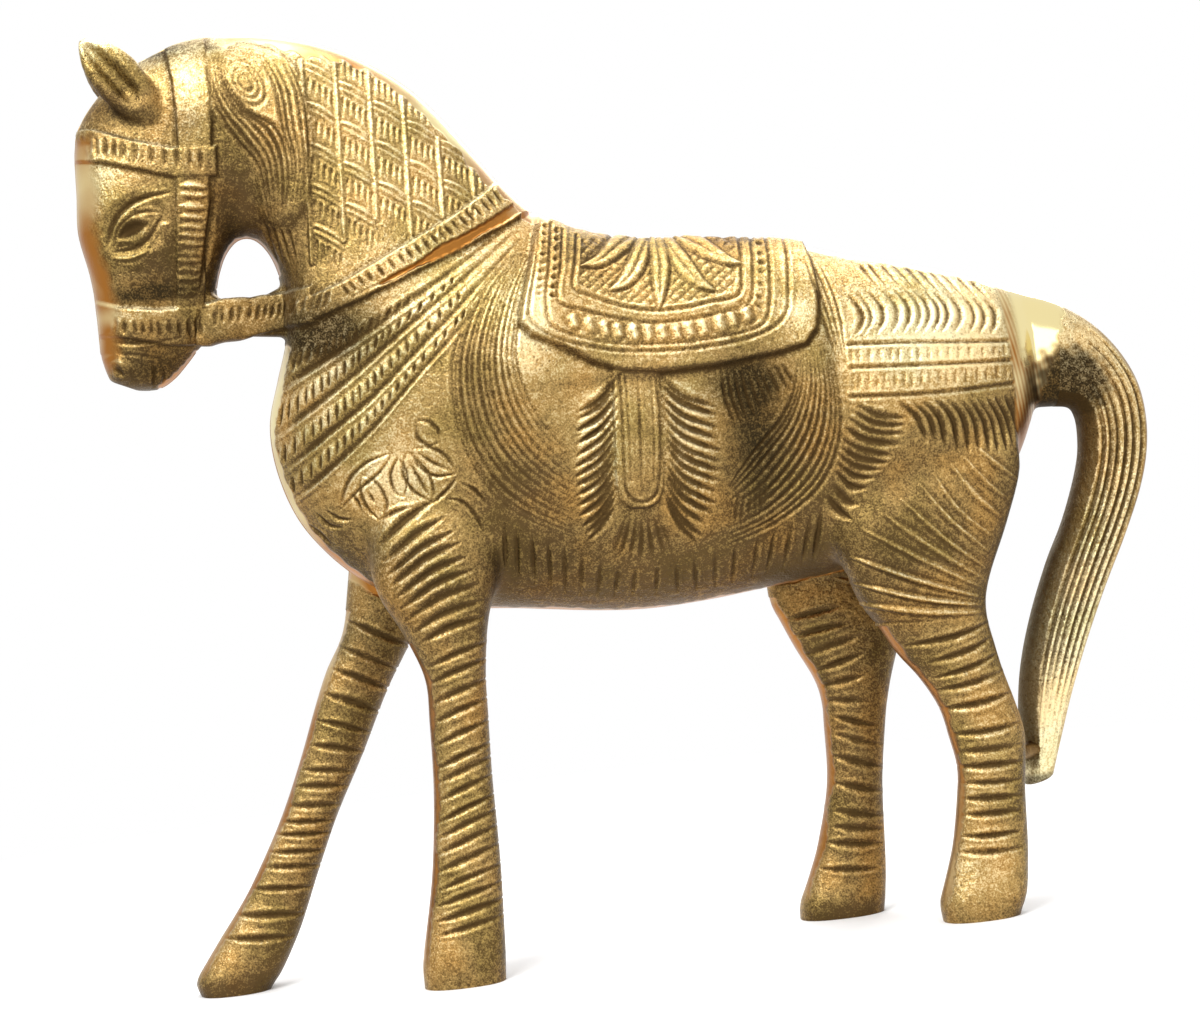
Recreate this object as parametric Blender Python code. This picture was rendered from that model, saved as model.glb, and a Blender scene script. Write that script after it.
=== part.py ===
"""Walking horse, a cast brass ornament about 254 mm tall, made of castings that are brazed together.

Two hollow half castings meet on the horse's middle plane and carry the neck, the head, the
ears, the saddle cloth and the harness as cast-in relief. A braze bead fills the groove that
runs round their seam. Four solid legs are tenoned and brazed under the halves, and a solid
tail is tenoned into the rump and tacked to the left hock.

The horse faces -X, its left side looks towards -Y and it stands on the plane z = 0.
Sizes are millimetres, and to_metres() turns them into the metres of the meshes.
"""

import math
from collections import namedtuple

import bmesh
import bpy
from mathutils import Vector

METRES_PER_MM = 0.001

# Castings
WALL = 3.2                      # thickness of the hollow half castings
SEAM_GAP = 0.3                  # between the two half castings
FIT = 0.3                       # between any other two pieces that touch
SIDE_SWELL = 1.0                # factor on the body's half widths, 1 = as drawn

# Braze in the seam groove
BEAD_WIDTH = 3.0                # across the seam
BEAD_DEPTH = 1.6                # from the outer surface inwards
BEAD_END_GAP = 1.0              # between one bead and the next

# Relief that is cast in one with the halves
CLOTH_RISE = 2.2                # saddle cloth above the flank
CLOTH_SHARE = 0.25              # share of that rise that the cloth keeps on the back
STRAP_RISE = 1.2                # bridle and neck strap above the flank
STRAP_LAP = 0.15                # how much higher a strap lies than the one it crosses
GIRTH_RISE = 0.9                # girth tongue above the flank
RELIEF_SETBACK = 0.5            # relief stops this far from the casting's mid-plane face
REIN_THICKNESS = 8.2            # of each half's rein, measured from the seam
REIN_SETBACK = 0.1              # the rein stops this far from the casting's mid-plane face

# Legs
STANCE = 16.5                   # from the middle plane to the middle of each leg
FORE_JOINT_Z = 92.0             # height of the brazed joint of both forelegs
HIND_JOINT_Z = 88.0             # height of the brazed joint of both hind legs
LEG_BEVEL = 1.2                 # chamfer on both edges of a leg joint, filled by braze
TENON_RADIUS = 4.5
TENON_LENGTH = 8.0
ROOT_TOP_Z = 136.0              # the root of a leg fades into the flank at this height

# Tail
TAIL_TENON_RADIUS = 5.0
TAIL_TENON_Z = 146.0
TAIL_TENON_END = 4.0            # the tail's tenon reaches this far past the rump wall
TACK_RADIUS = 3.0               # braze tack between tail tip and left hock
TACK_Z = 41.0

# Ears
EAR_LEAN = 11.3                 # from the middle plane to the middle of each ear

# Mesh resolution
BODY_SPAN_RINGS = 2             # rings from one station of the body to the next
BODY_SECTION = 12               # faces round one flank
HOLLOW_SPAN_RINGS = 1
HOLLOW_SECTION = 7
LEG_SECTION = 14
LEG_RINGS = 13
ROOT_RINGS = 5
TAIL_SECTION = 12
TAIL_SPAN_RINGS = 2
EAR_SECTION = 10
TENON_SECTION = 16

# The relief runs close along the flank, where the exact Boolean solver leaves open edges
CASTING_SOLVER = "MANIFOLD"

BodyStation = namedtuple("BodyStation", "top_x top_z low_x low_z half fullness")
LegStation = namedtuple("LegStation", "z front rear thickness outward")
TailStation = namedtuple("TailStation", "out_x out_z in_x in_z half")
EarStation = namedtuple("EarStation", "x z half thickness")
Swell = namedtuple("Swell", "x z reach_x reach_z height")

# Sections of the body from the rump, over the barrel and the neck, to the muzzle. Each joins a
# point of the upper outline to one of the lower outline, and is widest half way between them.
BODY = [
    BodyStation(107.5, 162.6, 108.0, 131.5, 10.0, 0.80),
    BodyStation(101.5, 165.2, 102.5, 119.5, 16.5, 0.84),
    BodyStation(91.5, 169.2, 92.5, 105.5, 22.0, 0.84),
    BodyStation(77.5, 173.6, 79.5, 98.5, 26.0, 0.84),
    BodyStation(63.3, 177.2, 63.5, 95.5, 28.0, 0.84),
    BodyStation(50.3, 181.2, 48.5, 93.6, 28.0, 0.84),
    BodyStation(34.3, 184.2, 32.5, 92.0, 27.5, 0.84),
    BodyStation(18.4, 185.7, 17.0, 90.6, 28.5, 0.84),
    BodyStation(2.5, 187.4, 0.5, 90.0, 28.8, 0.84),
    BodyStation(-10.0, 191.1, -14.0, 91.1, 28.5, 0.84),
    BodyStation(-19.5, 196.9, -33.0, 93.8, 28.0, 0.86),
    BodyStation(-24.5, 201.8, -52.0, 96.2, 27.4, 0.88),
    BodyStation(-28.5, 207.0, -68.0, 101.2, 26.5, 0.90),
    BodyStation(-33.0, 213.4, -80.5, 110.6, 25.4, 0.92),
    BodyStation(-38.0, 220.6, -89.5, 122.8, 24.0, 0.94),
    BodyStation(-43.5, 227.8, -94.0, 136.0, 22.5, 0.96),
    BodyStation(-50.0, 234.5, -94.8, 149.0, 21.0, 0.96),
    BodyStation(-58.0, 240.4, -91.3, 161.0, 19.6, 0.96),
    BodyStation(-68.5, 245.9, -87.6, 172.5, 18.4, 0.94),
    BodyStation(-81.0, 249.8, -87.4, 184.0, 17.2, 0.92),
    BodyStation(-93.5, 251.6, -89.2, 192.4, 16.2, 0.90),
    BodyStation(-105.0, 250.8, -92.8, 197.6, 15.4, 0.86),
    BodyStation(-115.0, 248.0, -97.0, 198.2, 14.8, 0.82),
    BodyStation(-123.0, 243.9, -100.6, 195.0, 14.3, 0.80),
    BodyStation(-129.8, 238.2, -103.0, 190.0, 14.0, 0.80),
    BodyStation(-134.8, 231.6, -104.4, 184.8, 14.0, 0.80),
    BodyStation(-137.0, 223.6, -106.0, 179.2, 13.8, 0.80),
    BodyStation(-137.7, 214.0, -108.4, 174.2, 13.4, 0.80),
    BodyStation(-138.4, 204.0, -110.9, 170.8, 12.6, 0.80),
    BodyStation(-136.6, 193.0, -114.2, 167.2, 11.4, 0.80),
    BodyStation(-135.9, 182.0, -117.7, 164.0, 10.4, 0.80),
    BodyStation(-136.2, 172.0, -121.9, 161.9, 9.2, 0.80),
    BodyStation(-134.2, 165.4, -127.4, 162.2, 6.0, 0.80),
]

# Muscles and hollows of the flank
SWELLS = [
    Swell(-31.0, 163.0, 17.0, 26.0, 2.6),       # shoulder
    Swell(36.0, 128.0, 15.0, 24.0, -3.4),       # flank hollow before the thigh
    Swell(72.0, 126.0, 24.0, 26.0, 1.8),        # thigh
    Swell(-43.0, 108.0, 9.0, 14.0, -1.6),       # behind the elbow
    Swell(-103.0, 203.0, 10.0, 12.0, 1.4),      # cheek
    Swell(-124.0, 193.0, 8.0, 8.0, -0.8),       # below the eye
]

LEGS = {
    "left_foreleg": (-1, FORE_JOINT_Z, [
        LegStation(0.0, -71.5, -50.2, 17.0, 0.0),
        LegStation(7.0, -71.3, -49.5, 17.0, 0.0),
        LegStation(15.0, -69.6, -49.0, 15.0, 0.0),
        LegStation(22.0, -68.0, -48.6, 14.0, 0.0),
        LegStation(30.0, -66.4, -48.2, 13.5, 0.0),
        LegStation(41.0, -64.8, -48.0, 13.5, 0.0),
        LegStation(53.0, -63.5, -47.9, 14.0, 0.0),
        LegStation(68.0, -62.8, -47.2, 14.5, 0.0),
        LegStation(80.0, -62.7, -46.6, 16.0, 0.3),
        LegStation(92.0, -67.0, -44.6, 18.0, 0.8),
        LegStation(106.0, -74.0, -40.5, 19.0, 1.6),
        LegStation(120.0, -75.5, -39.0, 17.6, 1.2),
        LegStation(136.0, -72.0, -42.0, 8.0, 0.0),
    ]),
    "right_foreleg": (1, FORE_JOINT_Z, [
        LegStation(0.0, -129.2, -111.2, 16.0, 0.0),
        LegStation(4.0, -130.4, -107.5, 17.0, 0.0),
        LegStation(13.3, -124.0, -102.0, 15.5, 0.0),
        LegStation(21.0, -118.0, -98.4, 14.0, 0.0),
        LegStation(28.7, -112.6, -95.1, 13.5, 0.0),
        LegStation(44.0, -103.7, -88.0, 13.5, 0.0),
        LegStation(59.1, -96.7, -79.6, 14.0, 0.0),
        LegStation(74.4, -90.5, -71.7, 15.0, 0.0),
        LegStation(83.0, -86.6, -66.4, 16.5, 0.2),
        LegStation(92.0, -81.6, -60.0, 18.0, 0.6),
        LegStation(106.0, -78.5, -48.0, 19.0, 1.4),
        LegStation(120.0, -76.0, -41.0, 17.6, 1.2),
        LegStation(136.0, -72.0, -42.0, 8.0, 0.0),
    ]),
    "left_hind_leg": (-1, HIND_JOINT_Z, [
        LegStation(0.0, 66.4, 86.6, 16.5, 0.0),
        LegStation(5.3, 66.0, 89.1, 17.0, 0.0),
        LegStation(12.9, 68.5, 90.3, 15.0, 0.0),
        LegStation(20.5, 70.9, 91.0, 14.0, 0.0),
        LegStation(32.2, 73.2, 91.6, 13.5, 0.0),
        LegStation(40.0, 74.1, 92.5, 13.5, 0.0),
        LegStation(48.1, 72.8, 93.0, 14.0, 0.0),
        LegStation(56.3, 71.0, 91.2, 14.5, 0.0),
        LegStation(64.7, 66.6, 88.9, 15.5, 0.0),
        LegStation(72.0, 61.2, 87.4, 17.0, 0.2),
        LegStation(80.0, 56.8, 86.1, 18.5, 0.6),
        LegStation(88.0, 52.0, 87.3, 20.0, 1.4),
        LegStation(104.0, 47.0, 94.5, 20.0, 2.2),
        LegStation(120.0, 46.0, 100.0, 17.0, 1.0),
        LegStation(136.0, 52.0, 96.0, 8.0, 0.0),
    ]),
    "right_hind_leg": (1, HIND_JOINT_Z, [
        LegStation(0.0, 33.4, 56.3, 16.5, 0.0),
        LegStation(4.3, 33.8, 57.2, 17.0, 0.0),
        LegStation(12.1, 37.1, 58.2, 15.0, 0.0),
        LegStation(20.0, 40.2, 58.7, 14.0, 0.0),
        LegStation(35.8, 44.4, 59.8, 13.5, 0.0),
        LegStation(52.1, 45.3, 62.4, 14.0, 0.0),
        LegStation(58.0, 45.4, 63.7, 14.5, 0.0),
        LegStation(64.5, 44.0, 65.6, 15.5, 0.0),
        LegStation(73.3, 39.8, 69.0, 17.0, 0.2),
        LegStation(81.0, 36.6, 73.4, 18.5, 0.6),
        LegStation(88.0, 34.2, 78.5, 20.0, 1.4),
        LegStation(104.0, 34.0, 89.0, 20.0, 2.0),
        LegStation(120.0, 38.0, 98.0, 17.0, 1.0),
        LegStation(136.0, 48.0, 96.0, 8.0, 0.0),
    ]),
}

# Sections of the tail from the rump face to the tip. The first span is the braze collar.
TAIL = [
    TailStation(107.5, 162.6, 108.0, 131.5, 10.0),
    TailStation(116.0, 159.3, 113.8, 131.2, 9.6),
    TailStation(125.4, 153.0, 118.0, 130.3, 9.0),
    TailStation(132.2, 145.3, 119.6, 127.4, 8.6),
    TailStation(136.8, 136.3, 119.8, 122.6, 8.2),
    TailStation(138.4, 127.0, 119.0, 116.5, 7.9),
    TailStation(137.8, 117.5, 116.4, 108.5, 7.7),
    TailStation(135.0, 107.5, 112.6, 99.5, 7.5),
    TailStation(129.6, 95.5, 107.4, 89.5, 7.4),
    TailStation(122.5, 81.8, 101.9, 76.5, 7.2),
    TailStation(116.0, 68.0, 97.9, 63.8, 7.0),
    TailStation(110.6, 55.0, 95.9, 52.0, 6.6),
    TailStation(106.2, 42.5, 95.5, 41.5, 5.6),
    TailStation(103.2, 33.4, 95.4, 32.0, 4.2),
]
TAIL_FULLNESS = 0.85

EAR = [
    EarStation(-114.5, 230.5, 3.0, 2.4),
    EarStation(-118.0, 235.0, 5.4, 3.8),
    EarStation(-121.3, 239.6, 6.3, 4.3),
    EarStation(-124.3, 243.8, 6.5, 4.1),
    EarStation(-127.7, 248.2, 5.2, 3.3),
    EarStation(-130.5, 251.8, 2.6, 2.0),
    EarStation(-131.7, 253.2, 0.9, 0.9),
]

# Outlines of the relief as seen from the side, in (x, z). A strap also has the number of
# straps that it laps over, and the share of its rise that it keeps where it meets the seam.
SADDLE_CLOTH = [
    (-18.0, 204.0), (-20.9, 192.8), (-24.8, 181.5), (-28.0, 173.3), (-29.0, 168.6),
    (-26.3, 165.3), (-19.1, 161.6), (-11.9, 157.0), (-4.0, 153.4), (6.0, 152.0),
    (20.0, 152.2), (37.3, 153.8), (44.8, 155.2), (48.0, 158.8), (50.0, 168.0),
    (49.8, 176.0), (48.2, 192.0),
]
GIRTH_TONGUE = [
    (-6.4, 156.0), (-7.6, 140.0), (-8.4, 126.0), (-8.0, 121.2), (-5.4, 118.4),
    (-1.0, 118.0), (2.0, 119.4), (3.4, 123.0), (4.4, 138.0), (5.6, 156.0),
]
STRAPS = {
    "neck_strap": (0, 0.3, [
        (-27.0, 207.0), (-42.0, 198.0), (-56.6, 191.4), (-73.0, 183.8), (-84.0, 180.2),
        (-84.4, 173.9), (-68.3, 179.2), (-52.2, 185.1), (-35.9, 191.2), (-19.0, 198.4),
    ]),
    "browband": (2, 0.7, [
        (-140.0, 231.6), (-130.5, 229.8), (-122.0, 226.3), (-112.0, 223.2), (-100.2, 222.5),
        (-100.9, 214.9), (-111.7, 215.6), (-120.3, 218.4), (-130.2, 221.5), (-140.0, 223.2),
    ]),
    "crown_strap": (1, 0.4, [
        (-111.1, 254.0), (-109.6, 240.4), (-109.5, 232.7), (-110.1, 220.0), (-101.7, 220.0),
        (-100.7, 229.2), (-100.0, 239.5), (-100.1, 254.0),
    ]),
    "cheekpiece": (0, 0.3, [
        (-111.0, 218.4), (-113.0, 202.0), (-115.4, 180.0), (-108.6, 180.0), (-105.9, 198.8),
        (-103.6, 209.0), (-102.4, 218.4),
    ]),
    "noseband": (1, 0.7, [
        (-140.0, 187.6), (-129.5, 184.1), (-119.4, 182.4), (-110.3, 182.6), (-104.0, 180.6),
        (-106.0, 171.0), (-117.9, 173.1), (-127.8, 176.0), (-140.0, 177.9),
    ]),
}
# The rein between jaw and neck: it closes the gap below the throat
REIN = [
    (-110.0, 172.2), (-104.0, 173.4), (-98.0, 173.3), (-92.4, 172.6), (-86.0, 171.8),
    (-85.8, 178.0), (-85.9, 185.6), (-88.4, 184.8), (-92.0, 183.3), (-98.0, 182.9),
    (-103.8, 183.6), (-106.0, 185.4), (-107.6, 179.0),
]

# Beads of the seam: name, outline that they follow, first and last station
BEADS = [
    ("back_seam_braze", "top", 0, 10),
    ("crest_seam_braze", "top", 10, 22),
    ("face_seam_braze", "top", 22, 31),
    ("belly_seam_braze", "low", 0, 12),
    ("chest_seam_braze", "low", 12, 17.7),
    ("throat_seam_braze", "low", 19.4, 24.8),
    ("jaw_seam_braze", "low", 28, 31),
]


def to_metres(x, y, z):
    """A point in millimetres as a Vector in metres."""
    return Vector((x, y, z)) * METRES_PER_MM


def spline(stations, t):
    """The station at t on a smooth curve through the stations, t counted in spans."""
    index = min(int(t), len(stations) - 2)
    u = t - index
    before = stations[max(index - 1, 0)]
    here, there = stations[index], stations[index + 1]
    after = stations[min(index + 2, len(stations) - 1)]
    weights = (
        0.5 * (-u + 2 * u**2 - u**3),
        0.5 * (2 - 5 * u**2 + 3 * u**3),
        0.5 * (u + 4 * u**2 - 3 * u**3),
        0.5 * (-(u**2) + u**3),
    )
    rows = zip(before, here, there, after)
    return type(stations[0])(*[sum(w * v for w, v in zip(weights, row)) for row in rows])


def outline_point(t, line, inset=0.0):
    """A point (x, z) of the body's upper or lower outline, moved inset into the body."""
    step = 0.25
    ends = max(t - step, 0.0), min(t + step, len(BODY) - 1.0)

    def at(position):
        station = spline(BODY, position)
        if line == "top":
            return Vector((station.top_x, station.top_z))
        return Vector((station.low_x, station.low_z))

    along = (at(ends[1]) - at(ends[0])).normalized()
    inward = Vector((-along.y, along.x)) if line == "top" else Vector((along.y, -along.x))
    return at(t) + inward * inset


def trimmed(t, distance, way, line="top"):
    """The place along an outline that lies a distance past t, forwards or backwards."""
    step = 0.02
    start = outline_point(t, line)
    while (outline_point(t, line) - start).length < distance:
        t += way * step
    return t


def swell_at(x, z):
    """How far muscles and hollows move the flank outwards at (x, z)."""
    total = 0.0
    for s in SWELLS:
        distance = ((x - s.x) / s.reach_x) ** 2 + ((z - s.z) / s.reach_z) ** 2
        total += s.height * math.exp(-distance)
    return total


def body_ring(t, sections, inset, side_rise):
    """(x, y, z) round one flank from the upper to the lower outline, y counted outwards."""
    station = spline(BODY, t)
    top = outline_point(t, "top", inset)
    low = outline_point(t, "low", inset)
    reach = station.half * SIDE_SWELL - inset
    ring = []
    for i in range(sections + 1):
        angle = math.pi * i / sections
        x, z = top.lerp(low, (1 - math.cos(angle)) / 2)
        share = max(math.sin(angle), 0.0) ** station.fullness
        ring.append((x, share * (reach + side_rise + swell_at(x, z)), z))
    return ring


def body_half(side, inset=0.0, face=SEAM_GAP / 2, side_rise=0.0,
              sections=BODY_SECTION, span_rings=BODY_SPAN_RINGS):
    """Rings of one half of the body, closed by a flat face at this distance from the seam."""
    start = trimmed(0.0, max(inset, 0.0), 1)
    stop = trimmed(len(BODY) - 1.0, max(inset, 0.0), -1)
    between = [i / span_rings for i in range((len(BODY) - 1) * span_rings)]
    rings = []
    for t in [start] + [t for t in between if start < t < stop] + [stop]:
        ring = body_ring(t, sections, inset, side_rise)
        rings.append([(x, side * max(y, face), z) for x, y, z in ring])
    return rings


def closed_loft(name, rings):
    """An object with quads between neighbouring rings and a cap on the first and the last."""
    mesh = bpy.data.meshes.new(name)
    shape = bmesh.new()
    rows = [[shape.verts.new(to_metres(*p)) for p in ring] for ring in rings]
    count = len(rings[0])
    for a, b in zip(rows, rows[1:]):
        for i in range(count):
            j = (i + 1) % count
            shape.faces.new((a[i], a[j], b[j], b[i]))
    shape.faces.new(reversed(rows[0]))
    shape.faces.new(rows[-1])
    bmesh.ops.remove_doubles(shape, verts=shape.verts, dist=1e-7)
    bmesh.ops.recalc_face_normals(shape, faces=shape.faces)
    shape.to_mesh(mesh)
    shape.free()
    return bpy.data.objects.new(name, mesh)


def prism(name, outline, low_y, high_y):
    """An outline in (x, z) as a 2D curve with thickness, standing between two y planes."""
    curve = bpy.data.curves.new(name, "CURVE")
    curve.dimensions = "2D"
    curve.fill_mode = "BOTH"
    curve.extrude = abs(high_y - low_y) / 2 * METRES_PER_MM
    line = curve.splines.new("POLY")
    line.points.add(len(outline) - 1)
    for point, (x, z) in zip(line.points, outline):
        point.co = (x * METRES_PER_MM, z * METRES_PER_MM, 0.0, 1.0)
    line.use_cyclic_u = True
    drawn = bpy.data.objects.new(name, curve)
    drawn.rotation_euler.x = math.pi / 2
    drawn.location.y = (low_y + high_y) / 2 * METRES_PER_MM
    return as_mesh(drawn)


def as_mesh(drawn):
    """A curve object turned into a welded mesh object at the same place."""
    bpy.context.scene.collection.objects.link(drawn)
    bpy.context.view_layer.update()
    graph = bpy.context.evaluated_depsgraph_get()
    mesh = bpy.data.meshes.new_from_object(drawn.evaluated_get(graph))
    mesh.transform(drawn.matrix_world)
    shape = bmesh.new()
    shape.from_mesh(mesh)
    bmesh.ops.remove_doubles(shape, verts=shape.verts, dist=1e-6)
    bmesh.ops.recalc_face_normals(shape, faces=shape.faces)
    shape.to_mesh(mesh)
    shape.free()
    name = drawn.name
    bpy.data.objects.remove(drawn)
    return bpy.data.objects.new(name, mesh)


def cylinder(name, centre, radius, length, axis):
    """A capped cylinder about a middle point in millimetres, along X or Z."""
    shape = bmesh.new()
    bmesh.ops.create_cone(
        shape,
        cap_ends=True,
        segments=TENON_SECTION,
        radius1=radius * METRES_PER_MM,
        radius2=radius * METRES_PER_MM,
        depth=length * METRES_PER_MM,
    )
    mesh = bpy.data.meshes.new(name)
    shape.to_mesh(mesh)
    shape.free()
    made = bpy.data.objects.new(name, mesh)
    made.location = to_metres(*centre)
    made.rotation_euler = Vector((0, 0, 1)).rotation_difference(Vector(axis)).to_euler()
    return made


def cut(target, tool, operation, solver="EXACT"):
    """A Boolean modifier on target whose tool is put with the cutters."""
    modifier = target.modifiers.new(tool.name, "BOOLEAN")
    modifier.operation = operation
    modifier.solver = solver
    modifier.object = as_cutter(tool)


def as_cutter(tool):
    """The tool, kept out of the render in the cutters' collection."""
    if tool.name not in CUTTERS.objects:
        CUTTERS.objects.link(tool)
        tool.hide_render = True
        tool.display_type = "WIRE"
    return tool


def leg_section(station, side, inset=0.0):
    """A level section through a leg, as (x, y, z) points."""
    middle = (station.front + station.rear) / 2
    length = (station.rear - station.front) / 2 - inset
    width = station.thickness / 2 - inset
    points = []
    for i in range(LEG_SECTION):
        angle = 2 * math.pi * i / LEG_SECTION
        c, s = math.cos(angle), math.sin(angle)
        x = middle + length * math.copysign(abs(c) ** 0.85, c)
        y = STANCE + station.outward + width * math.copysign(abs(s) ** 0.85, s)
        points.append((x, side * y, station.z))
    return points


def leg_station(stations, z):
    """The station of a leg at a height."""
    spans = range(len(stations) - 1)
    index = next((i for i in spans if stations[i + 1].z >= z), len(stations) - 2)
    low, high = 0.0, 1.0
    for _ in range(30):
        middle = (low + high) / 2
        if spline(stations, index + middle).z < z:
            low = middle
        else:
            high = middle
    return spline(stations, index + low)


def leg_rings(stations, side, low_z, high_z, count=LEG_RINGS,
              bevel_low=False, bevel_high=False, inset=0.0):
    """Rings of a leg between two heights. A bevelled end is drawn in for the braze."""
    heights = [low_z + (high_z - low_z) * i / count for i in range(count + 1)]
    insets = [inset] * len(heights)
    if bevel_low:
        insets[0] += LEG_BEVEL
        heights.insert(1, low_z + LEG_BEVEL)
        insets.insert(1, inset)
    if bevel_high:
        insets[-1] += LEG_BEVEL
        heights.insert(-1, high_z - LEG_BEVEL)
        insets.insert(-1, inset)
    rings = []
    for z, draw in zip(heights, insets):
        station = leg_station(stations, z)._replace(z=z)
        rings.append(leg_section(station, side, draw))
    return rings


def leg_middle(stations, side, z):
    """(x, y) of the middle of a leg at a height."""
    station = leg_station(stations, z)
    return (station.front + station.rear) / 2, side * (STANCE + station.outward)


def leg_root(name, side, joint_z, stations):
    """The root above a leg's joint, cast in one with the half of the body."""
    foot = joint_z + FIT / 2
    rings = leg_rings(stations, side, foot, ROOT_TOP_Z, ROOT_RINGS, bevel_low=True)
    return closed_loft(name + "_root", rings)


def leg_socket(name, side, joint_z, stations):
    """The blind hole in a leg's root for its tenon."""
    x, y = leg_middle(stations, side, joint_z)
    depth = TENON_LENGTH + FIT
    centre = (x, y, joint_z + depth / 2 - FIT)
    return cylinder(name + "_socket", centre, TENON_RADIUS + FIT, depth + 2 * FIT, (0, 0, 1))


def build_leg(name, side, joint_z, stations):
    """A solid leg from its sole to the joint, with a tenon on top."""
    leg = closed_loft(name, leg_rings(stations, side, 0.0, joint_z - FIT / 2, bevel_high=True))
    x, y = leg_middle(stations, side, joint_z)
    sunk = 2.0
    centre = (x, y, joint_z + (TENON_LENGTH - sunk) / 2 - FIT)
    tenon = cylinder(name + "_tenon", centre, TENON_RADIUS, TENON_LENGTH + sunk, (0, 0, 1))
    cut(leg, tenon, "UNION")
    return leg


def leg_braze(name, side, joint_z, stations):
    """The ring of braze in the groove round a leg's joint."""
    slant = FIT * math.sqrt(2)
    reach = LEG_BEVEL - slant
    corners = [
        (-reach - FIT / 2, 0.0),
        (reach + FIT / 2, 0.0),
        (FIT / 3, reach),
        (-FIT / 3, reach),
    ]
    loops = []
    for rise, inset in corners:
        z = joint_z + rise
        loops.append(leg_section(leg_station(stations, z)._replace(z=z), side, inset))
    return hoop(name, loops)


def hoop(name, loops):
    """A closed ring whose section has one corner on each loop of points."""
    mesh = bpy.data.meshes.new(name)
    shape = bmesh.new()
    rows = [[shape.verts.new(to_metres(*p)) for p in loop] for loop in loops]
    count = len(loops[0])
    for a, b in zip(rows, rows[1:] + rows[:1]):
        for i in range(count):
            j = (i + 1) % count
            shape.faces.new((a[i], a[j], b[j], b[i]))
    bmesh.ops.recalc_face_normals(shape, faces=shape.faces)
    shape.to_mesh(mesh)
    shape.free()
    return bpy.data.objects.new(name, mesh)


def seam_rings(line, first, last, width, outside, depth):
    """Rings of a bar along the seam, from outside the outline to depth inside it."""
    count = max(2, round((last - first) * BODY_SPAN_RINGS))
    rings = []
    for i in range(count + 1):
        t = first + (last - first) * i / count
        outer = outline_point(t, line, -outside)
        inner = outline_point(t, line, depth)
        half = width / 2
        rings.append([
            (outer.x, -half, outer.y),
            (outer.x, half, outer.y),
            (inner.x, half, inner.y),
            (inner.x, -half, inner.y),
        ])
    return rings


def build_bead(name, line, first, last):
    """A bead of braze that fills the seam groove flush with the castings."""
    start = trimmed(first, BEAD_END_GAP / 2, 1, line)
    stop = trimmed(last, BEAD_END_GAP / 2, -1, line)
    return closed_loft(name, seam_rings(line, start, stop, BEAD_WIDTH, 0.0, BEAD_DEPTH))


def seam_groove(name, line, first, last):
    """The groove that one half leaves for a bead, a little longer than the bead."""
    lap = 0.02
    width = BEAD_WIDTH + 2 * FIT
    clear_of_relief = 3.0
    rings = seam_rings(
        line, first - lap, last + lap, width, clear_of_relief, BEAD_DEPTH + FIT
    )
    return closed_loft(name + "_groove", rings)


def tail_section(station, inset=0.0, shift=0.0):
    """A section across the tail, as (x, y, z) points."""
    outer = Vector((station.out_x, station.out_z))
    inner = Vector((station.in_x, station.in_z))
    across = (outer - inner).normalized() * inset
    outer, inner = outer - across, inner + across
    points = []
    for i in range(TAIL_SECTION):
        angle = 2 * math.pi * i / TAIL_SECTION
        c, s = math.cos(angle), math.sin(angle)
        x, z = inner.lerp(outer, (1 + math.copysign(abs(c) ** TAIL_FULLNESS, c)) / 2)
        width = station.half - inset
        y = width * math.copysign(abs(s) ** TAIL_FULLNESS, s)
        points.append((x + shift, y, z))
    return points


def tail_rings(first, inset=0.0, shift=0.0):
    """Rings of the tail from a station to the tip."""
    count = (len(TAIL) - 1 - first) * TAIL_SPAN_RINGS
    positions = [first + i / TAIL_SPAN_RINGS for i in range(count + 1)]
    rings = [tail_section(spline(TAIL, t), inset) for t in positions]
    rings[0] = tail_section(spline(TAIL, first), inset, shift)
    return rings


def tail_tenon(name, radius):
    """The round tenon that runs from the tail through the collar and the rump wall."""
    rump = BODY[0].top_x - WALL - TAIL_TENON_END
    root = TAIL[1].out_x + 2.0
    centre = ((rump + root) / 2, 0.0, TAIL_TENON_Z)
    return cylinder(name, centre, radius, root - rump, (1, 0, 0))


def build_tail():
    """The solid tail with its tenon."""
    tail = closed_loft("tail", tail_rings(1, shift=FIT))
    cut(tail, tail_tenon("tail_tenon", TAIL_TENON_RADIUS), "UNION")
    return tail


def build_tail_root_braze():
    """The collar of braze between rump and tail, bored for the tenon."""
    near = tail_section(TAIL[0], shift=FIT)
    middle = tail_section(spline(TAIL, 0.5))
    far = tail_section(TAIL[1])
    collar = closed_loft("tail_root_braze", [near, middle, far])
    cut(collar, tail_tenon("collar_bore", TAIL_TENON_RADIUS + FIT), "DIFFERENCE")
    return collar


def build_tail_tip_braze():
    """The tack of braze between the tail's tip and the left hock."""
    side, joint_z, stations = LEGS["left_hind_leg"]
    leg_x, leg_y = leg_middle(stations, side, TACK_Z)
    tail_x = (spline(TAIL, 12).out_x + spline(TAIL, 12).in_x) / 2
    start = Vector((leg_x + 4.0, leg_y))
    stop = Vector((tail_x, 0.0))
    middle = (start + stop) / 2
    axis = (stop - start).normalized()
    tack = cylinder(
        "tail_tip_braze",
        (middle.x, middle.y, TACK_Z),
        TACK_RADIUS,
        (stop - start).length,
        (axis.x, axis.y, 0.0),
    )
    leg_room = closed_loft(
        "hock_room", leg_rings(stations, side, 0.0, joint_z, inset=-FIT)
    )
    tail_room = closed_loft("tip_room", tail_rings(1, inset=-FIT))
    cut(tack, leg_room, "DIFFERENCE")
    cut(tack, tail_room, "DIFFERENCE")
    return tack


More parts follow.
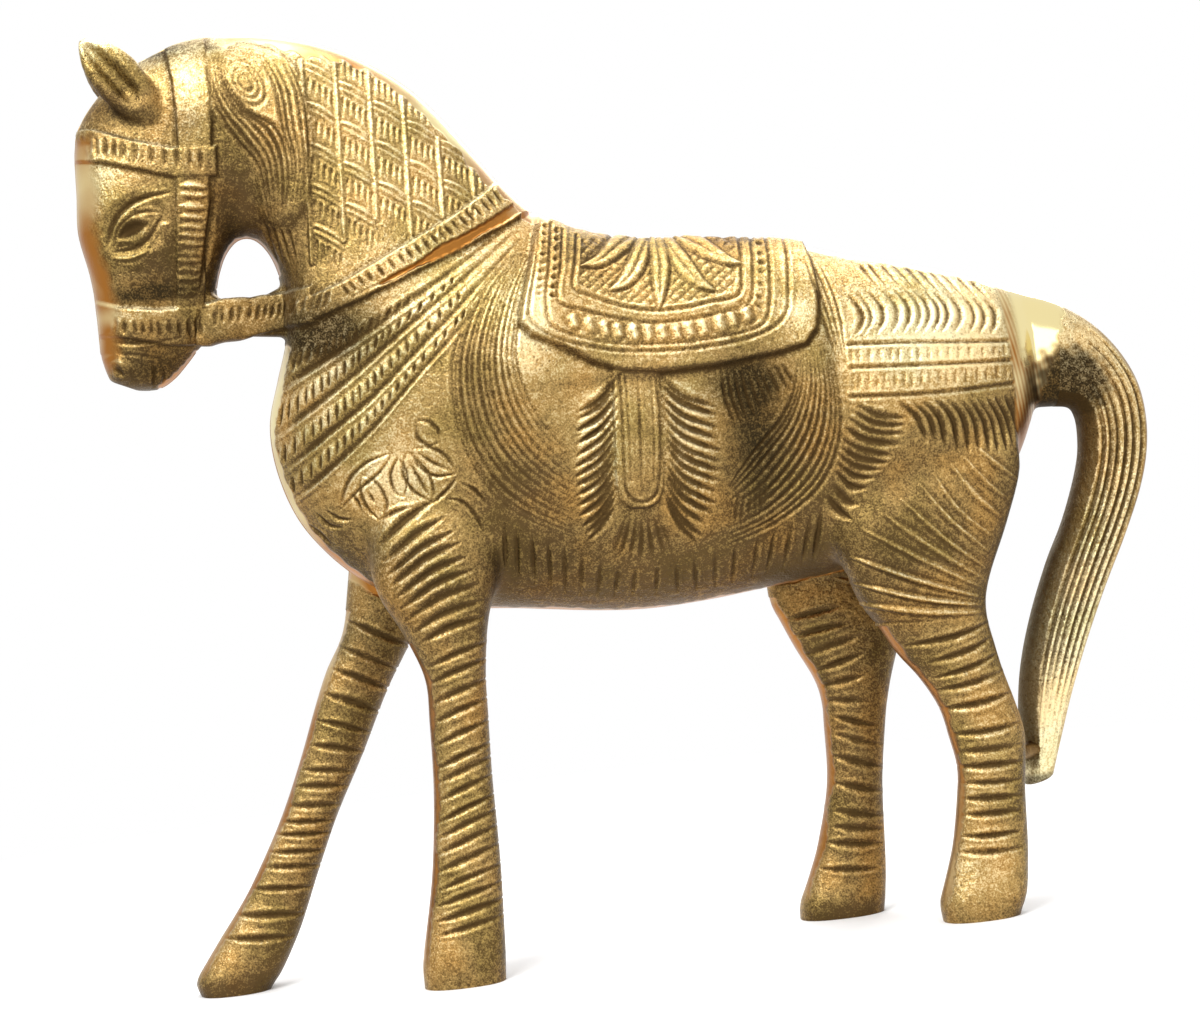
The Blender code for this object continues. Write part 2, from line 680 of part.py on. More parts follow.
def ear_rings(side):
    """Rings of one ear along its axis."""
    axis = Vector((EAR[-1].x - EAR[0].x, EAR[-1].z - EAR[0].z)).normalized()
    across = Vector((axis.y, -axis.x))
    rings = []
    for i in range((len(EAR) - 1) * 2 + 1):
        station = spline(EAR, i / 2)
        ring = []
        for k in range(EAR_SECTION):
            angle = 2 * math.pi * k / EAR_SECTION
            offset = across * station.half * math.cos(angle)
            y = EAR_LEAN + station.thickness * math.sin(angle)
            ring.append((station.x + offset.x, side * y, station.z + offset.y))
        rings.append(ring)
    return rings


def relief(name, side, outline, rise, share):
    """A flat ornament inside an outline, rise above the flank and less of it at the seam."""
    face = SEAM_GAP / 2 + RELIEF_SETBACK
    over = rise * share
    form = closed_loft(name, body_half(side, -over, face, rise - over))
    cut(form, prism(name + "_outline", outline, -40.0, 40.0), "INTERSECT")
    return form


def hollow(name, side):
    """The space inside one half casting, open across the seam."""
    past = 2.0
    rings = body_half(
        side, WALL, face=0.0, sections=HOLLOW_SECTION, span_rings=HOLLOW_SPAN_RINGS
    )
    opened = []
    for ring in rings:
        first, last = ring[0], ring[-1]
        opened.append(
            [(first[0], -side * past, first[2])]
            + ring
            + [(last[0], -side * past, last[2])]
        )
    return closed_loft(name, opened)


def build_shell(name, side):
    """One half casting of the body with everything that is cast in one with it."""
    shell = closed_loft(name, body_half(side))
    for leg_name, (leg_side, joint_z, stations) in LEGS.items():
        if leg_side == side:
            cut(shell, leg_root(leg_name, side, joint_z, stations), "UNION", CASTING_SOLVER)
    cloth = relief(name + "_saddle_cloth", side, SADDLE_CLOTH, CLOTH_RISE, CLOTH_SHARE)
    cut(shell, cloth, "UNION", CASTING_SOLVER)
    girth = relief(name + "_girth_tongue", side, GIRTH_TONGUE, GIRTH_RISE, CLOTH_SHARE)
    cut(shell, girth, "UNION", CASTING_SOLVER)
    for strap_name, (laps, share, outline) in STRAPS.items():
        rise = STRAP_RISE + laps * STRAP_LAP
        strap = relief(name + "_" + strap_name, side, outline, rise, share)
        cut(shell, strap, "UNION", CASTING_SOLVER)
    cut(shell, closed_loft(name + "_ear", ear_rings(side)), "UNION", CASTING_SOLVER)
    rein_face = SEAM_GAP / 2 + REIN_SETBACK
    rein = prism(name + "_rein", REIN, side * rein_face, side * REIN_THICKNESS)
    cut(shell, rein, "UNION", CASTING_SOLVER)
    cut(shell, hollow(name + "_hollow", side), "DIFFERENCE", CASTING_SOLVER)
    for bead_name, line, first, last in BEADS:
        groove = seam_groove(name + "_" + bead_name, line, first, last)
        cut(shell, groove, "DIFFERENCE", CASTING_SOLVER)
    for leg_name, (leg_side, joint_z, stations) in LEGS.items():
        if leg_side == side:
            cut(shell, leg_socket(leg_name, side, joint_z, stations), "DIFFERENCE", CASTING_SOLVER)
    cut(shell, tail_tenon(name + "_tail_hole", TAIL_TENON_RADIUS + FIT), "DIFFERENCE", CASTING_SOLVER)
    return shell


def material(name, colour, roughness):
    """A brass with its own colour and polish."""
    made = bpy.data.materials.new(name)
    made.use_nodes = True
    shader = made.node_tree.nodes["Principled BSDF"]
    shader.inputs["Base Color"].default_value = (*colour, 1.0)
    shader.inputs["Metallic"].default_value = 1.0
    shader.inputs["Roughness"].default_value = roughness
    return made


def finish(made, finish_name):
    """Put a piece in the horse's collection with its own material and smooth shading."""
    colour, roughness = FINISHES[finish_name]
    made.data.materials.clear()
    made.data.materials.append(material(made.name, colour, roughness))
    made.data.shade_smooth()
    made.data.set_sharp_from_angle(angle=math.radians(35))
    HORSE.objects.link(made)


FINISHES = {
    "antique": ((0.52, 0.38, 0.14), 0.38),
    "ground": ((0.66, 0.46, 0.20), 0.28),
    "polished": ((0.78, 0.62, 0.26), 0.14),
}


def clear_scene():
    """Remove every object that the file opened with."""
    for old in list(bpy.data.objects):
        bpy.data.objects.remove(old)


def new_collection(name):
    """A collection linked to the scene."""
    made = bpy.data.collections.new(name)
    bpy.context.scene.collection.children.link(made)
    return made


clear_scene()
HORSE = new_collection("brass_horse")
CUTTERS = new_collection("cutters")

finish(build_shell("left_body_casting", -1), "antique")
finish(build_shell("right_body_casting", 1), "antique")
for leg_name, (leg_side, leg_joint_z, leg_stations) in LEGS.items():
    finish(build_leg(leg_name, leg_side, leg_joint_z, leg_stations), "antique")
    braze_name = leg_name + "_braze"
    finish(leg_braze(braze_name, leg_side, leg_joint_z, leg_stations), "ground")
finish(build_tail(), "antique")
finish(build_tail_root_braze(), "polished")
finish(build_tail_tip_braze(), "ground")
for bead_name, bead_line, bead_first, bead_last in BEADS:
    finish(build_bead(bead_name, bead_line, bead_first, bead_last), "ground")
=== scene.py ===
"""Looks of the walking horse, an engraved brass casting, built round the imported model.

The horse is made the way its pattern maker, its founder and its engraver worked. Trunk, legs, ears,
rein and the tail's collar are joined into one smooth form, the harness is raised on it, the chisel
strokes are cut, and the form is then sawn into the castings, the legs, their rings of braze and
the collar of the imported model. The tail, its tack and the seam's strips of braze are made by
themselves.

The horse faces -X, its left side looks towards -Y and it stands on z = 0. Sizes are millimetres,
and a mesh gets them in metres when it is written.
"""

import logging
import math
from dataclasses import dataclass, field
from enum import Enum

import bpy
import numpy as np
from mathutils import Matrix, Vector
from mathutils.bvhtree import BVHTree

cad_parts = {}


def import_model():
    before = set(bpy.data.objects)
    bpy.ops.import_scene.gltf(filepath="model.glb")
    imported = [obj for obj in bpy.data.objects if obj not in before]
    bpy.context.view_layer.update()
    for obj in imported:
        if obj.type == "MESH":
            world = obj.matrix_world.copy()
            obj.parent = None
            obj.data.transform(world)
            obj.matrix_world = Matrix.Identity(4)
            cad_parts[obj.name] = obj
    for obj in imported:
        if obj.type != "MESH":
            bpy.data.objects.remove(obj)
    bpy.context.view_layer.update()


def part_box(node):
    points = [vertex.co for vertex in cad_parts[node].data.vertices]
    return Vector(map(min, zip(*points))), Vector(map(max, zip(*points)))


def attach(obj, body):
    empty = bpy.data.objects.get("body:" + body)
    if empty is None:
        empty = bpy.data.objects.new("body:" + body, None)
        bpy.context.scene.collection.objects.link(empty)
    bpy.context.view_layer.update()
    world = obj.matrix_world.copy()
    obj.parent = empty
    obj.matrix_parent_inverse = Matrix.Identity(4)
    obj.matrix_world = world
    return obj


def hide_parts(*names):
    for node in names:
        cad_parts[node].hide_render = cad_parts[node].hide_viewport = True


LOG = logging.getLogger("brass_horse")
MM = 0.001
WEAR_AND_SHADE = "wear_and_shade"       # vertex colour: red the darkness of cuts with the painted shadow below raised edges, green ground zone, blue painted shade, alpha polish with a painted highlight
LIGHT_AND_TONE = "light_and_tone"       # vertex value of painted light and shade: 0 is brass painted deep brown as shaded, 1 is brass painted pale as lit; it also carries the brushed streaks of the collar
PAINTED_LIGHT_WAY = np.array([-0.22, 0.0, 0.9])    # the way that the painted light comes from: faces turned towards it are painted paler, faces turned away darker
SIDES = {"left": -1, "right": 1}

Point = tuple[float, float]
Path = tuple[Point, ...]
Piece = bpy.types.Object


def spline(rows: np.ndarray, places: np.ndarray) -> np.ndarray:
    """Read a smooth curve through rows of numbers.

    Args:
        rows: One row of numbers for each station.
        places: Where to read the curve, counted in stations.

    Returns:
        One row for each place.
    """
    rows = np.asarray(rows, float)
    places = np.atleast_1d(places)
    last = len(rows) - 1
    index = np.clip(places.astype(int), 0, last - 1)
    u = (places - index)[:, None]
    before, here = rows[np.maximum(index - 1, 0)], rows[index]
    there, after = rows[index + 1], rows[np.minimum(index + 2, last)]
    return 0.5 * (
        2 * here
        + (there - before) * u
        + (2 * before - 5 * here + 4 * there - after) * u**2
        + (3 * here - before - 3 * there + after) * u**3
    )


def along(points: Path, places: np.ndarray) -> np.ndarray:
    """Points of a smooth curve through points, at shares 0 to 1 of the way from first to last."""
    return spline(points, np.asarray(places) * (len(points) - 1))


def circle(corners: int) -> tuple[np.ndarray, np.ndarray]:
    """Cosine and sine of the corners of a ring."""
    angle = 2 * math.pi * np.arange(corners) / corners
    return np.cos(angle), np.sin(angle)


def full(value: np.ndarray, fullness: float | np.ndarray) -> np.ndarray:
    """Cosines or sines of a ring, pushed outwards so that it is fuller than an ellipse."""
    return np.sign(value) * np.abs(value) ** fullness


def smoothstep(low: float, high: float, value: np.ndarray) -> np.ndarray:
    """A soft step from 0 at low to 1 at high."""
    t = np.clip((value - low) / (high - low), 0, 1)
    return t * t * (3 - 2 * t)


def line_distance(points: np.ndarray, path: np.ndarray) -> tuple[np.ndarray, np.ndarray]:
    """Distance of points from a path, and the share of its length where they are nearest.

    Args:
        points: Places in the plane of the path.
        path: Its corners.

    Returns:
        The distances and the shares.
    """
    start, step = path[:-1], np.diff(path, axis=0)
    length = np.linalg.norm(step, axis=1)
    before = np.concatenate([[0], np.cumsum(length)])
    offset = points[:, None, :] - start[None]
    share = np.clip((offset * step).sum(2) / np.maximum(length**2, 1e-9), 0, 1)
    gap = np.linalg.norm(offset - share[..., None] * step, axis=2)
    nearest = gap.argmin(1)
    rows = np.arange(len(points))
    place = (before[nearest] + share[rows, nearest] * length[nearest]) / max(before[-1], 1e-9)
    return gap[rows, nearest], place


def inside_distance(points: np.ndarray, outline: np.ndarray) -> np.ndarray:
    """Distance of points from a closed outline, positive inside it.

    Args:
        points: Places in the plane of the outline.
        outline: Its corners.

    Returns:
        The distances.
    """
    closed = np.vstack([outline, outline[:1]])
    gap, _ = line_distance(points, closed)
    x, z = points[:, 0][:, None], points[:, 1][:, None]
    a, b = closed[:-1], closed[1:]
    spans = (a[:, 1] > z) != (b[:, 1] > z)
    rise = np.where(a[:, 1] == b[:, 1], 1e-9, b[:, 1] - a[:, 1])
    crossings = spans & (x < a[:, 0] + (z - a[:, 1]) / rise * (b[:, 0] - a[:, 0]))
    return np.where(crossings.sum(1) % 2 == 1, gap, -gap)


def deselect_all() -> None:
    """Leave nothing selected and no mesh in edit mode."""
    if bpy.context.object and bpy.context.object.mode != "OBJECT":
        bpy.ops.object.mode_set(mode="OBJECT")
    bpy.ops.object.select_all(action="DESELECT")


def make_active(piece: Piece) -> None:
    """Select one piece alone and make it the active one."""
    deselect_all()
    piece.select_set(True)
    bpy.context.view_layer.objects.active = piece


def apply_modifier(piece: Piece, kind: str, **settings: object) -> None:
    """Add a modifier with its settings and apply it.

    Args:
        piece: The object that the modifier shapes.
        kind: Blender's name for the modifier's type.
        **settings: Values for the modifier's own properties.
    """
    make_active(piece)
    modifier = piece.modifiers.new(kind.title(), kind)
    for key, value in settings.items():
        setattr(modifier, key, value)
    bpy.ops.object.modifier_apply(modifier=modifier.name)


def places_of(piece: Piece) -> np.ndarray:
    """The corners of a piece's mesh in millimetres."""
    flat = np.empty(len(piece.data.vertices) * 3, np.float32)
    piece.data.vertices.foreach_get("co", flat)
    return flat.reshape(-1, 3).astype(float) / MM


def move_to(piece: Piece, places: np.ndarray) -> None:
    """Put the corners of a piece's mesh at places in millimetres."""
    piece.data.vertices.foreach_set("co", (places * MM).astype(np.float32).ravel())
    piece.data.update()


def normals_of(piece: Piece) -> np.ndarray:
    """The outward direction at each corner of a piece's mesh."""
    flat = np.empty(len(piece.data.vertices) * 3, np.float32)
    piece.data.vertex_normals.foreach_get("vector", flat)
    return flat.reshape(-1, 3).astype(float)


def rolled_tube(name: str, rings: np.ndarray) -> Piece:
    """Roll a grid into a closed tube through rings of points.

    Args:
        name: Name of the new piece.
        rings: Places in millimetres, as (ring, corner, xyz).

    Returns:
        The piece, closed at both ends.
    """
    deselect_all()
    count, corners, _ = rings.shape
    bpy.ops.mesh.primitive_grid_add(x_subdivisions=corners, y_subdivisions=count - 1, size=1)
    piece = bpy.context.object
    piece.name = piece.data.name = name
    move_to(piece, np.concatenate([rings, rings[:, :1]], axis=1).reshape(-1, 3))
    bpy.ops.object.mode_set(mode="EDIT")
    bpy.ops.mesh.select_all(action="SELECT")
    bpy.ops.mesh.remove_doubles(threshold=1e-6)
    bpy.ops.mesh.fill_holes(sides=0)
    bpy.ops.mesh.select_all(action="SELECT")
    bpy.ops.mesh.normals_make_consistent(inside=False)
    bpy.ops.object.mode_set(mode="OBJECT")
    return piece


def joined(name: str, parts: list[Piece]) -> Piece:
    """Join pieces into one object.

    Args:
        name: Name of the new piece.
        parts: Pieces, which are used up.

    Returns:
        The new piece.
    """
    deselect_all()
    for part in parts:
        part.select_set(True)
    bpy.context.view_layer.objects.active = parts[0]
    bpy.ops.object.join()
    parts[0].name = parts[0].data.name = name
    return parts[0]


def parted(piece: Piece, name: str, point: Vector, normal: Vector) -> Piece:
    """Saw a piece in two on a plane and close both cuts.

    Args:
        piece: The piece, which keeps what lies behind the plane.
        name: Name of the new piece.
        point: A point of the plane, in millimetres.
        normal: The side of the plane that the new piece is on.

    Returns:
        The new piece.
    """
    other = piece.copy()
    other.data = piece.data.copy()
    other.name = other.data.name = name
    bpy.context.scene.collection.objects.link(other)
    for half, inner in ((other, True), (piece, False)):
        make_active(half)
        bpy.ops.object.mode_set(mode="EDIT")
        bpy.ops.mesh.select_all(action="SELECT")
        bpy.ops.mesh.bisect(
            plane_co=point * MM,
            plane_no=normal,
            use_fill=True,
            clear_inner=inner,
            clear_outer=not inner,
            threshold=1e-7,
        )
        bpy.ops.object.mode_set(mode="OBJECT")
    return other


class Taper(Enum):
    """How the width and the depth of a chisel stroke run along it."""

    LEAF = "leaf"
    WEDGE = "wedge"
    DROP = "drop"
    EVEN = "even"

    def share(self, place: np.ndarray) -> np.ndarray:
        """Share of the full width at places from 0 to 1 along the stroke.

        Args:
            place: The places.

        Returns:
            The share at each.
        """
        if self is Taper.LEAF:
            return np.sin(math.pi * np.clip(place * 0.9 + 0.05, 0, 1)) ** 0.6
        if self is Taper.WEDGE:
            return (1 - place) ** 0.6 * smoothstep(-0.05, 0.12, place)
        if self is Taper.DROP:
            return place**0.5 * smoothstep(1.05, 0.85, place)
        return np.ones_like(place)


@dataclass(frozen=True)
class Strokes:
    """A row of chisel strokes, each of which runs from guide to guide."""

    # Curves that every stroke crosses in turn, at the same share of their length
    guides: tuple[Path, ...]
    count: int
    width: float = 0.9
    depth: float = 0.4
    taper: Taper = Taper.LEAF
    raised: bool = False


@dataclass(frozen=True)
class Groove:
    """One long line along a path, such as a border."""

    path: Path    # points that the line runs through, in (x, z)
    width: float = 0.8
    depth: float = 0.35
    taper: Taper = Taper.EVEN
    raised: bool = False


Ornament = Strokes | Groove     # what a graver cuts


@dataclass(frozen=True)
class Raised:
    """A flat ornament that stands up inside an outline."""

    outline: Path    # corners of the outline, in (x, z)
    rise: float    # height above the flank, in millimetres
    edge: float = 0.8    # width of the slope at the outline
    rounded: bool = False    # true to draw the outline as a smooth curve through its corners


@dataclass(frozen=True)
class Swell:
    """A soft muscle of the flank at (x, z), or a hollow with a height below zero."""

    x: float
    z: float
    reach_x: float    # how far it reaches along X, before it is turned
    reach_z: float
    height: float
    turn: float = 0.0    # how far it is turned, in degrees

    def height_at(self, x: np.ndarray, z: np.ndarray) -> np.ndarray:
        """Height of the swell above the flank at (x, z).

        Args:
            x: Places along X.
            z: Places along Z.

        Returns:
            The heights.
        """
        c, s = math.cos(math.radians(self.turn)), math.sin(math.radians(self.turn))
        dx, dz = x - self.x, z - self.z
        across = ((dx * c + dz * s) / self.reach_x) ** 2
        upright = ((dz * c - dx * s) / self.reach_z) ** 2
        return self.height * np.exp(-(across + upright))


class Graver:
    """Cuts strokes and raises relief on the corners of a form, seen along Y, and paints a shadow
    below raised edges.
    """

    LIP = 0.35          # height of the burr beside a cut, as a share of the cut's depth
    LIP_PLACE = 1.9     # middle of the burr, counted in half widths of the cut
    LIP_WIDTH = 0.8     # half width of the burr, counted in the same way

    def __init__(self, x: np.ndarray, z: np.ndarray, where: np.ndarray, seed: int = 1) -> None:
        """Take up the corners.

        Args:
            x: Places of the corners along X.
            z: Places of the corners along Z.
            where: True for the corners that this graver may move.
            seed: Seed of the small unevenness of the hand.
        """
        chosen = np.flatnonzero(where)
        self.index = chosen[np.argsort(x[chosen])]
        self.points = np.stack([x[self.index], z[self.index]], axis=1)
        self.rise = np.zeros(len(self.index))
        self.sunk = np.zeros(len(self.index))
        self.proud = np.zeros(len(self.index))
        # painted shadow on the flank just outside raised relief, kept with the cuts
        self.painted_shadow = np.zeros(len(self.index))
        self.hand = np.random.default_rng(seed)

    def near(self, path: np.ndarray, reach: float) -> np.ndarray:
        """Corners that lie within reach of the box round a path.

        Args:
            path: The path.
            reach: How far the box is widened.

        Returns:
            Numbers of the corners.
        """
        low, high = path.min(0) - reach, path.max(0) + reach
        first, last = np.searchsorted(self.points[:, 0], [low[0], high[0]])
        z = self.points[first:last, 1]
        return first + np.flatnonzero((z > low[1]) & (z < high[1]))

    def cut(self, path: np.ndarray, width: float, depth: float, taper: Taper,
            raised: bool = False) -> None:
        """Cut one stroke along a path, or leave it standing if it is raised.

        Args:
            path: Points on the way.
            width: Its width.
            depth: Its depth.
            taper: How it narrows.
            raised: True to leave it standing.
        """
        chosen = self.near(path, width * 1.6)
        if not len(chosen):
            return
        gap, place = line_distance(self.points[chosen], path)
        share = taper.share(place)
        half = width / 2 * np.maximum(share, 0.3)
        bed = depth * share * np.exp(-((gap / half) ** 2))
        from_lip = (gap - self.LIP_PLACE * half) / (self.LIP_WIDTH * half)
        lip = self.LIP * depth * share * np.exp(-(from_lip**2))
        if raised:
            self.proud[chosen] = np.maximum(self.proud[chosen], bed)
            self.sunk[chosen] = np.maximum(self.sunk[chosen], 1.3 * lip)
        else:
            self.sunk[chosen] = np.maximum(self.sunk[chosen], bed)
            self.proud[chosen] = np.maximum(self.proud[chosen], lip)

    def strokes(self, row: Strokes) -> None:
        """Cut a row of strokes, each a little uneven.

        Args:
            row: The row.
        """
        places = (np.arange(row.count) + 0.5) / row.count
        places += self.hand.uniform(-0.12, 0.12, row.count) / row.count
        crossings = np.stack([along(guide, places) for guide in row.guides], axis=1)
        for stroke in crossings:
            steps = 1 if len(stroke) == 2 else 4 * (len(stroke) - 1)
            path = spline(stroke, np.linspace(0, len(stroke) - 1, steps + 1))
            width, depth = self.hand.uniform(0.85, 1.15, 2)
            self.cut(path, row.width * width, row.depth * depth, row.taper, row.raised)

    def groove(self, line: Groove) -> None:
        """Cut one long line."""
        path = spline(line.path, np.linspace(0, len(line.path) - 1, 6 * len(line.path)))
        self.cut(path, line.width, line.depth, line.taper, line.raised)

    def work(self, ornaments: tuple[Ornament, ...]) -> None:
        """Cut every row and line of a set.

        Args:
            ornaments: The set.
        """
        for ornament in ornaments:
            if isinstance(ornament, Strokes):
                self.strokes(ornament)
            else:
                self.groove(ornament)

    def raise_up(self, relief: Raised) -> None:
        """Raise what lies inside an outline, and paint a shadow on the flank just outside it.

        Args:
            relief: The outline and its height.
        """
        outline = np.asarray(relief.outline, float)
        if relief.rounded:
            closed = np.vstack([outline[-1:], outline, outline[:2]])
            steps = np.linspace(1, len(outline) + 1, 8 * len(outline), endpoint=False)
            outline = spline(closed, steps)
        chosen = self.near(outline, 3.0)
        depth_in = inside_distance(self.points[chosen], outline)
        share = relief.rise * smoothstep(-relief.edge / 2, relief.edge / 2, depth_in)
        if relief.rise < 0:
            self.rise[chosen] += share
            return
        # Painted shadow: cleared inside the outline, laid in a band just outside the raised edge
        self.painted_shadow[chosen] *= smoothstep(0.8, -0.2, depth_in)
        foot = smoothstep(-2.2, -0.3, depth_in) * smoothstep(0.6, -0.2, depth_in)
        foot *= self.rise[chosen] < 0.5
        self.rise[chosen] = np.maximum(self.rise[chosen], share)
        self.painted_shadow[chosen] = np.maximum(self.painted_shadow[chosen], foot * min(0.45 * relief.rise, 0.6))

    def hatch(self, outline: Path, pitch: float, angle: float, depth: float) -> None:
        """Cut parallel lines, pitch apart, over the inside of an outline.

        Args:
            outline: Corners of the outline.
            pitch: From line to line.
            angle: Direction of the lines, in degrees.
            depth: Depth of a line.
        """
        corners = np.asarray(outline, float)
        chosen = self.near(corners, 0.0)
        inside = smoothstep(0.0, 0.5, inside_distance(self.points[chosen], corners))
        turn = math.radians(angle)
        phase = self.points[chosen] @ np.array([-math.sin(turn), math.cos(turn)]) / pitch
        valley = (0.5 + 0.5 * np.cos(2 * math.pi * phase)) ** 3
        self.sunk[chosen] = np.maximum(self.sunk[chosen], depth * valley * inside)

    def petal(self, path: Path, width: float, rise: float) -> None:
        """Raise a petal along a path, with a cut round it and a vein.

        Args:
            path: From its base to its tip.
            width: Its width.
            rise: Its height.
        """
        line = spline(path, np.linspace(0, len(path) - 1, 6 * len(path)))
        chosen = self.near(line, width)
        gap, place = line_distance(self.points[chosen], line)
        swell = np.sin(math.pi * np.clip(place, 0.04, 0.98) ** 0.85)
        half = width / 2 * np.maximum(swell, 0.05) ** 0.8
        body = rise * smoothstep(1.1, 0.5, gap / half)
        rim = 0.38 * np.exp(-(((gap - half - 0.25) / 0.4) ** 2)) * ((place > 0.01) & (place < 0.99))
        self.proud[chosen] = np.maximum(self.proud[chosen], body)
        self.sunk[chosen] = np.where(body > 0.1, 0.0, np.maximum(self.sunk[chosen], rim))
        vein = spline(path, np.linspace(0.15, (len(path) - 1) * 0.8, 8))
        self.cut(vein, 0.8, 0.34, Taper.LEAF)

    def result(self, count: int) -> tuple[np.ndarray, np.ndarray]:
        """Height above the plain form, and the darkness of the cuts with the painted shadow, for
        all corners of the form.

        Args:
            count: Number of corners of the form.

        Returns:
            Height in millimetres, and the darkness of the cuts with the painted shadow from 0 to 1.
        """
        height, patina = np.zeros(count), np.zeros(count)
        height[self.index] = self.rise + self.proud - self.sunk
        patina[self.index] = np.maximum(smoothstep(0.1, 0.6, self.sunk), self.painted_shadow)
        return height, patina


@dataclass
class Trunk:
    """The body from rump to muzzle, drawn as sections from the upper to the lower outline."""

    # Upper point (x, z), lower point (x, z), half width and fullness of each section
    stations: tuple[tuple[float, ...], ...] = (
        (107.5, 162.6, 108, 131.5, 10, 0.80),
        (101.5, 165.2, 102.5, 119.5, 16.5, 0.84),
        (91.5, 169.2, 92.5, 105.5, 22, 0.84),
        (77.5, 173.6, 79.5, 98.5, 26, 0.84),
        (63.3, 177.2, 63.5, 95.5, 28, 0.84),
        (50.3, 181.2, 48.5, 93.6, 28, 0.84),
        (34.3, 184.2, 32.5, 92, 27.5, 0.84),
        (18.4, 185.7, 17, 90.6, 28.5, 0.84),
        (2.5, 187.4, 0.5, 90, 28.8, 0.84),
        (-10, 191.1, -14, 91.1, 28.5, 0.84),
        (-19.5, 196.9, -33, 93.8, 28, 0.86),
        (-24.5, 201.8, -52, 96.2, 27.4, 0.88),
        (-28.5, 207, -68, 101.2, 26.5, 0.90),
        (-33, 213.4, -80.5, 110.6, 25.4, 0.92),
        (-38, 220.6, -89.5, 122.8, 24, 0.94),
        (-43.5, 227.8, -94, 136, 22.5, 0.96),
        (-50, 234.5, -94.8, 149, 21, 0.96),
        (-58, 240.4, -91.3, 161, 19.6, 0.96),
        (-68.5, 245.9, -87.6, 172.5, 18.4, 0.94),
        (-81, 249.8, -87.4, 184, 17.2, 0.92),
        (-93.5, 251.6, -89.2, 192.4, 16.2, 0.90),
        (-105, 250.8, -92.8, 197.6, 15.4, 0.86),
        (-115, 248, -97, 198.2, 14.8, 0.82),
        (-123, 243.9, -100.6, 195, 14.3, 0.80),
        (-129.8, 238.2, -103, 190, 14, 0.80),
        (-134.8, 231.6, -104.4, 184.8, 14, 0.80),
        (-137, 223.6, -106, 179.2, 13.8, 0.80),
        (-137.7, 214, -108.4, 174.2, 13.4, 0.80),
        (-138.4, 204, -110.9, 170.8, 12.6, 0.80),
        (-136.6, 193, -114.2, 167.2, 11.4, 0.80),
        (-135.9, 182, -117.7, 164, 10.4, 0.80),
        (-136.2, 172, -121.9, 161.9, 9.2, 0.80),
        (-134.2, 165.4, -127.4, 162.2, 6, 0.80),
    )
    # Muscles and hollows
    swells: tuple[Swell, ...] = (
        Swell(-31, 163, 17, 26, 2.6),
        Swell(36, 128, 15, 24, -3.4),
        Swell(72, 126, 24, 26, 1.8),
        Swell(-43, 108, 9, 14, -1.6),
        Swell(-103, 203, 10, 12, 1.4),
        Swell(-124, 193, 8, 8, -0.8),
    )
    span_rings: int = 5    # rings between two stations
    corners: int = 60

    def outline(self, line: str, places: np.ndarray) -> np.ndarray:
        """Points (x, z) of the upper ("top") or lower ("low") outline."""
        first = 0 if line == "top" else 2
        return spline(self.stations, places)[:, first:first + 2]

    def build(self) -> Piece:
        """Loft the body, both flanks in one.

        Returns:
            The form.
        """
        spans = len(self.stations) - 1
        rows = spline(self.stations, np.linspace(0, spans, spans * self.span_rings + 1))
        c, s = circle(self.corners)
        share = (1 - c) / 2
        x = rows[:, 0:1] * (1 - share) + rows[:, 2:3] * share
        z = rows[:, 1:2] * (1 - share) + rows[:, 3:4] * share
        width = rows[:, 4:5] + sum(swell.height_at(x, z) for swell in self.swells)
        y = -full(s, rows[:, 5:6]) * width
        return rolled_tube("trunk", np.stack([x, y, z], axis=2))


@dataclass
class Leg:
    """One leg, drawn as level sections from the sole to its root in the flank."""

    name: str
    side: int    # -1 for left, 1 for right
    # Height, front, rear, thickness and how far the section stands outwards
    stations: tuple[tuple[float, ...], ...]
    strokes: Strokes
    worked_below: float    # the leg's own strokes stop at this height
    stance: float = 16.5    # from the middle plane to the middle of the leg
    rings: int = 70
    corners: int = 36
    root_z: float = 136.0
    foot_z: float = -2.5    # where the loft starts, below the sole that is cut level later
    fullness: float = 0.85    # roundness of the sections, 1 = an ellipse
    margin: float = 5.0    # the leg's strokes reach this far in front of it and behind it
    inner: float = 3.0    # nearer to the middle plane than this there are none

    def build(self) -> Piece:
        """Loft the leg with its root.

        Returns:
            The form.
        """
        table = np.asarray(self.stations)
        dense = spline(table, np.linspace(0, len(table) - 1, 20 * len(table)))
        heights = np.linspace(self.foot_z, self.root_z, self.rings)
        rows = np.stack([np.interp(heights, dense[:, 0], dense[:, k]) for k in range(5)], axis=1)
        c, s = (full(value, self.fullness) for value in circle(self.corners))
        x = (rows[:, 1:2] + rows[:, 2:3]) / 2 + (rows[:, 2:3] - rows[:, 1:2]) / 2 * c
        y = self.side * (self.stance + rows[:, 4:5] + rows[:, 3:4] / 2 * s)
        z = np.broadcast_to(heights[:, None], x.shape)
        return rolled_tube(self.name + "_form", np.stack([x, y, z], axis=2))

    def edges(self, z: np.ndarray) -> tuple[np.ndarray, np.ndarray]:
        """The front and rear edges (x) of the leg at heights z."""
        table = np.asarray(self.stations)
        return np.interp(z, table[:, 0], table[:, 1]), np.interp(z, table[:, 0], table[:, 2])

    def holds(self, places: np.ndarray) -> np.ndarray:
        """True for the corners that the leg's own strokes may reach.

        Args:
            places: The corners.

        Returns:
            A mark for each corner.
        """
        front, rear = self.edges(places[:, 2])
        x, y, z = places.T
        beside = (x > front - self.margin) & (x < rear + self.margin)
        return beside & (y * self.side > self.inner) & (z < self.worked_below)


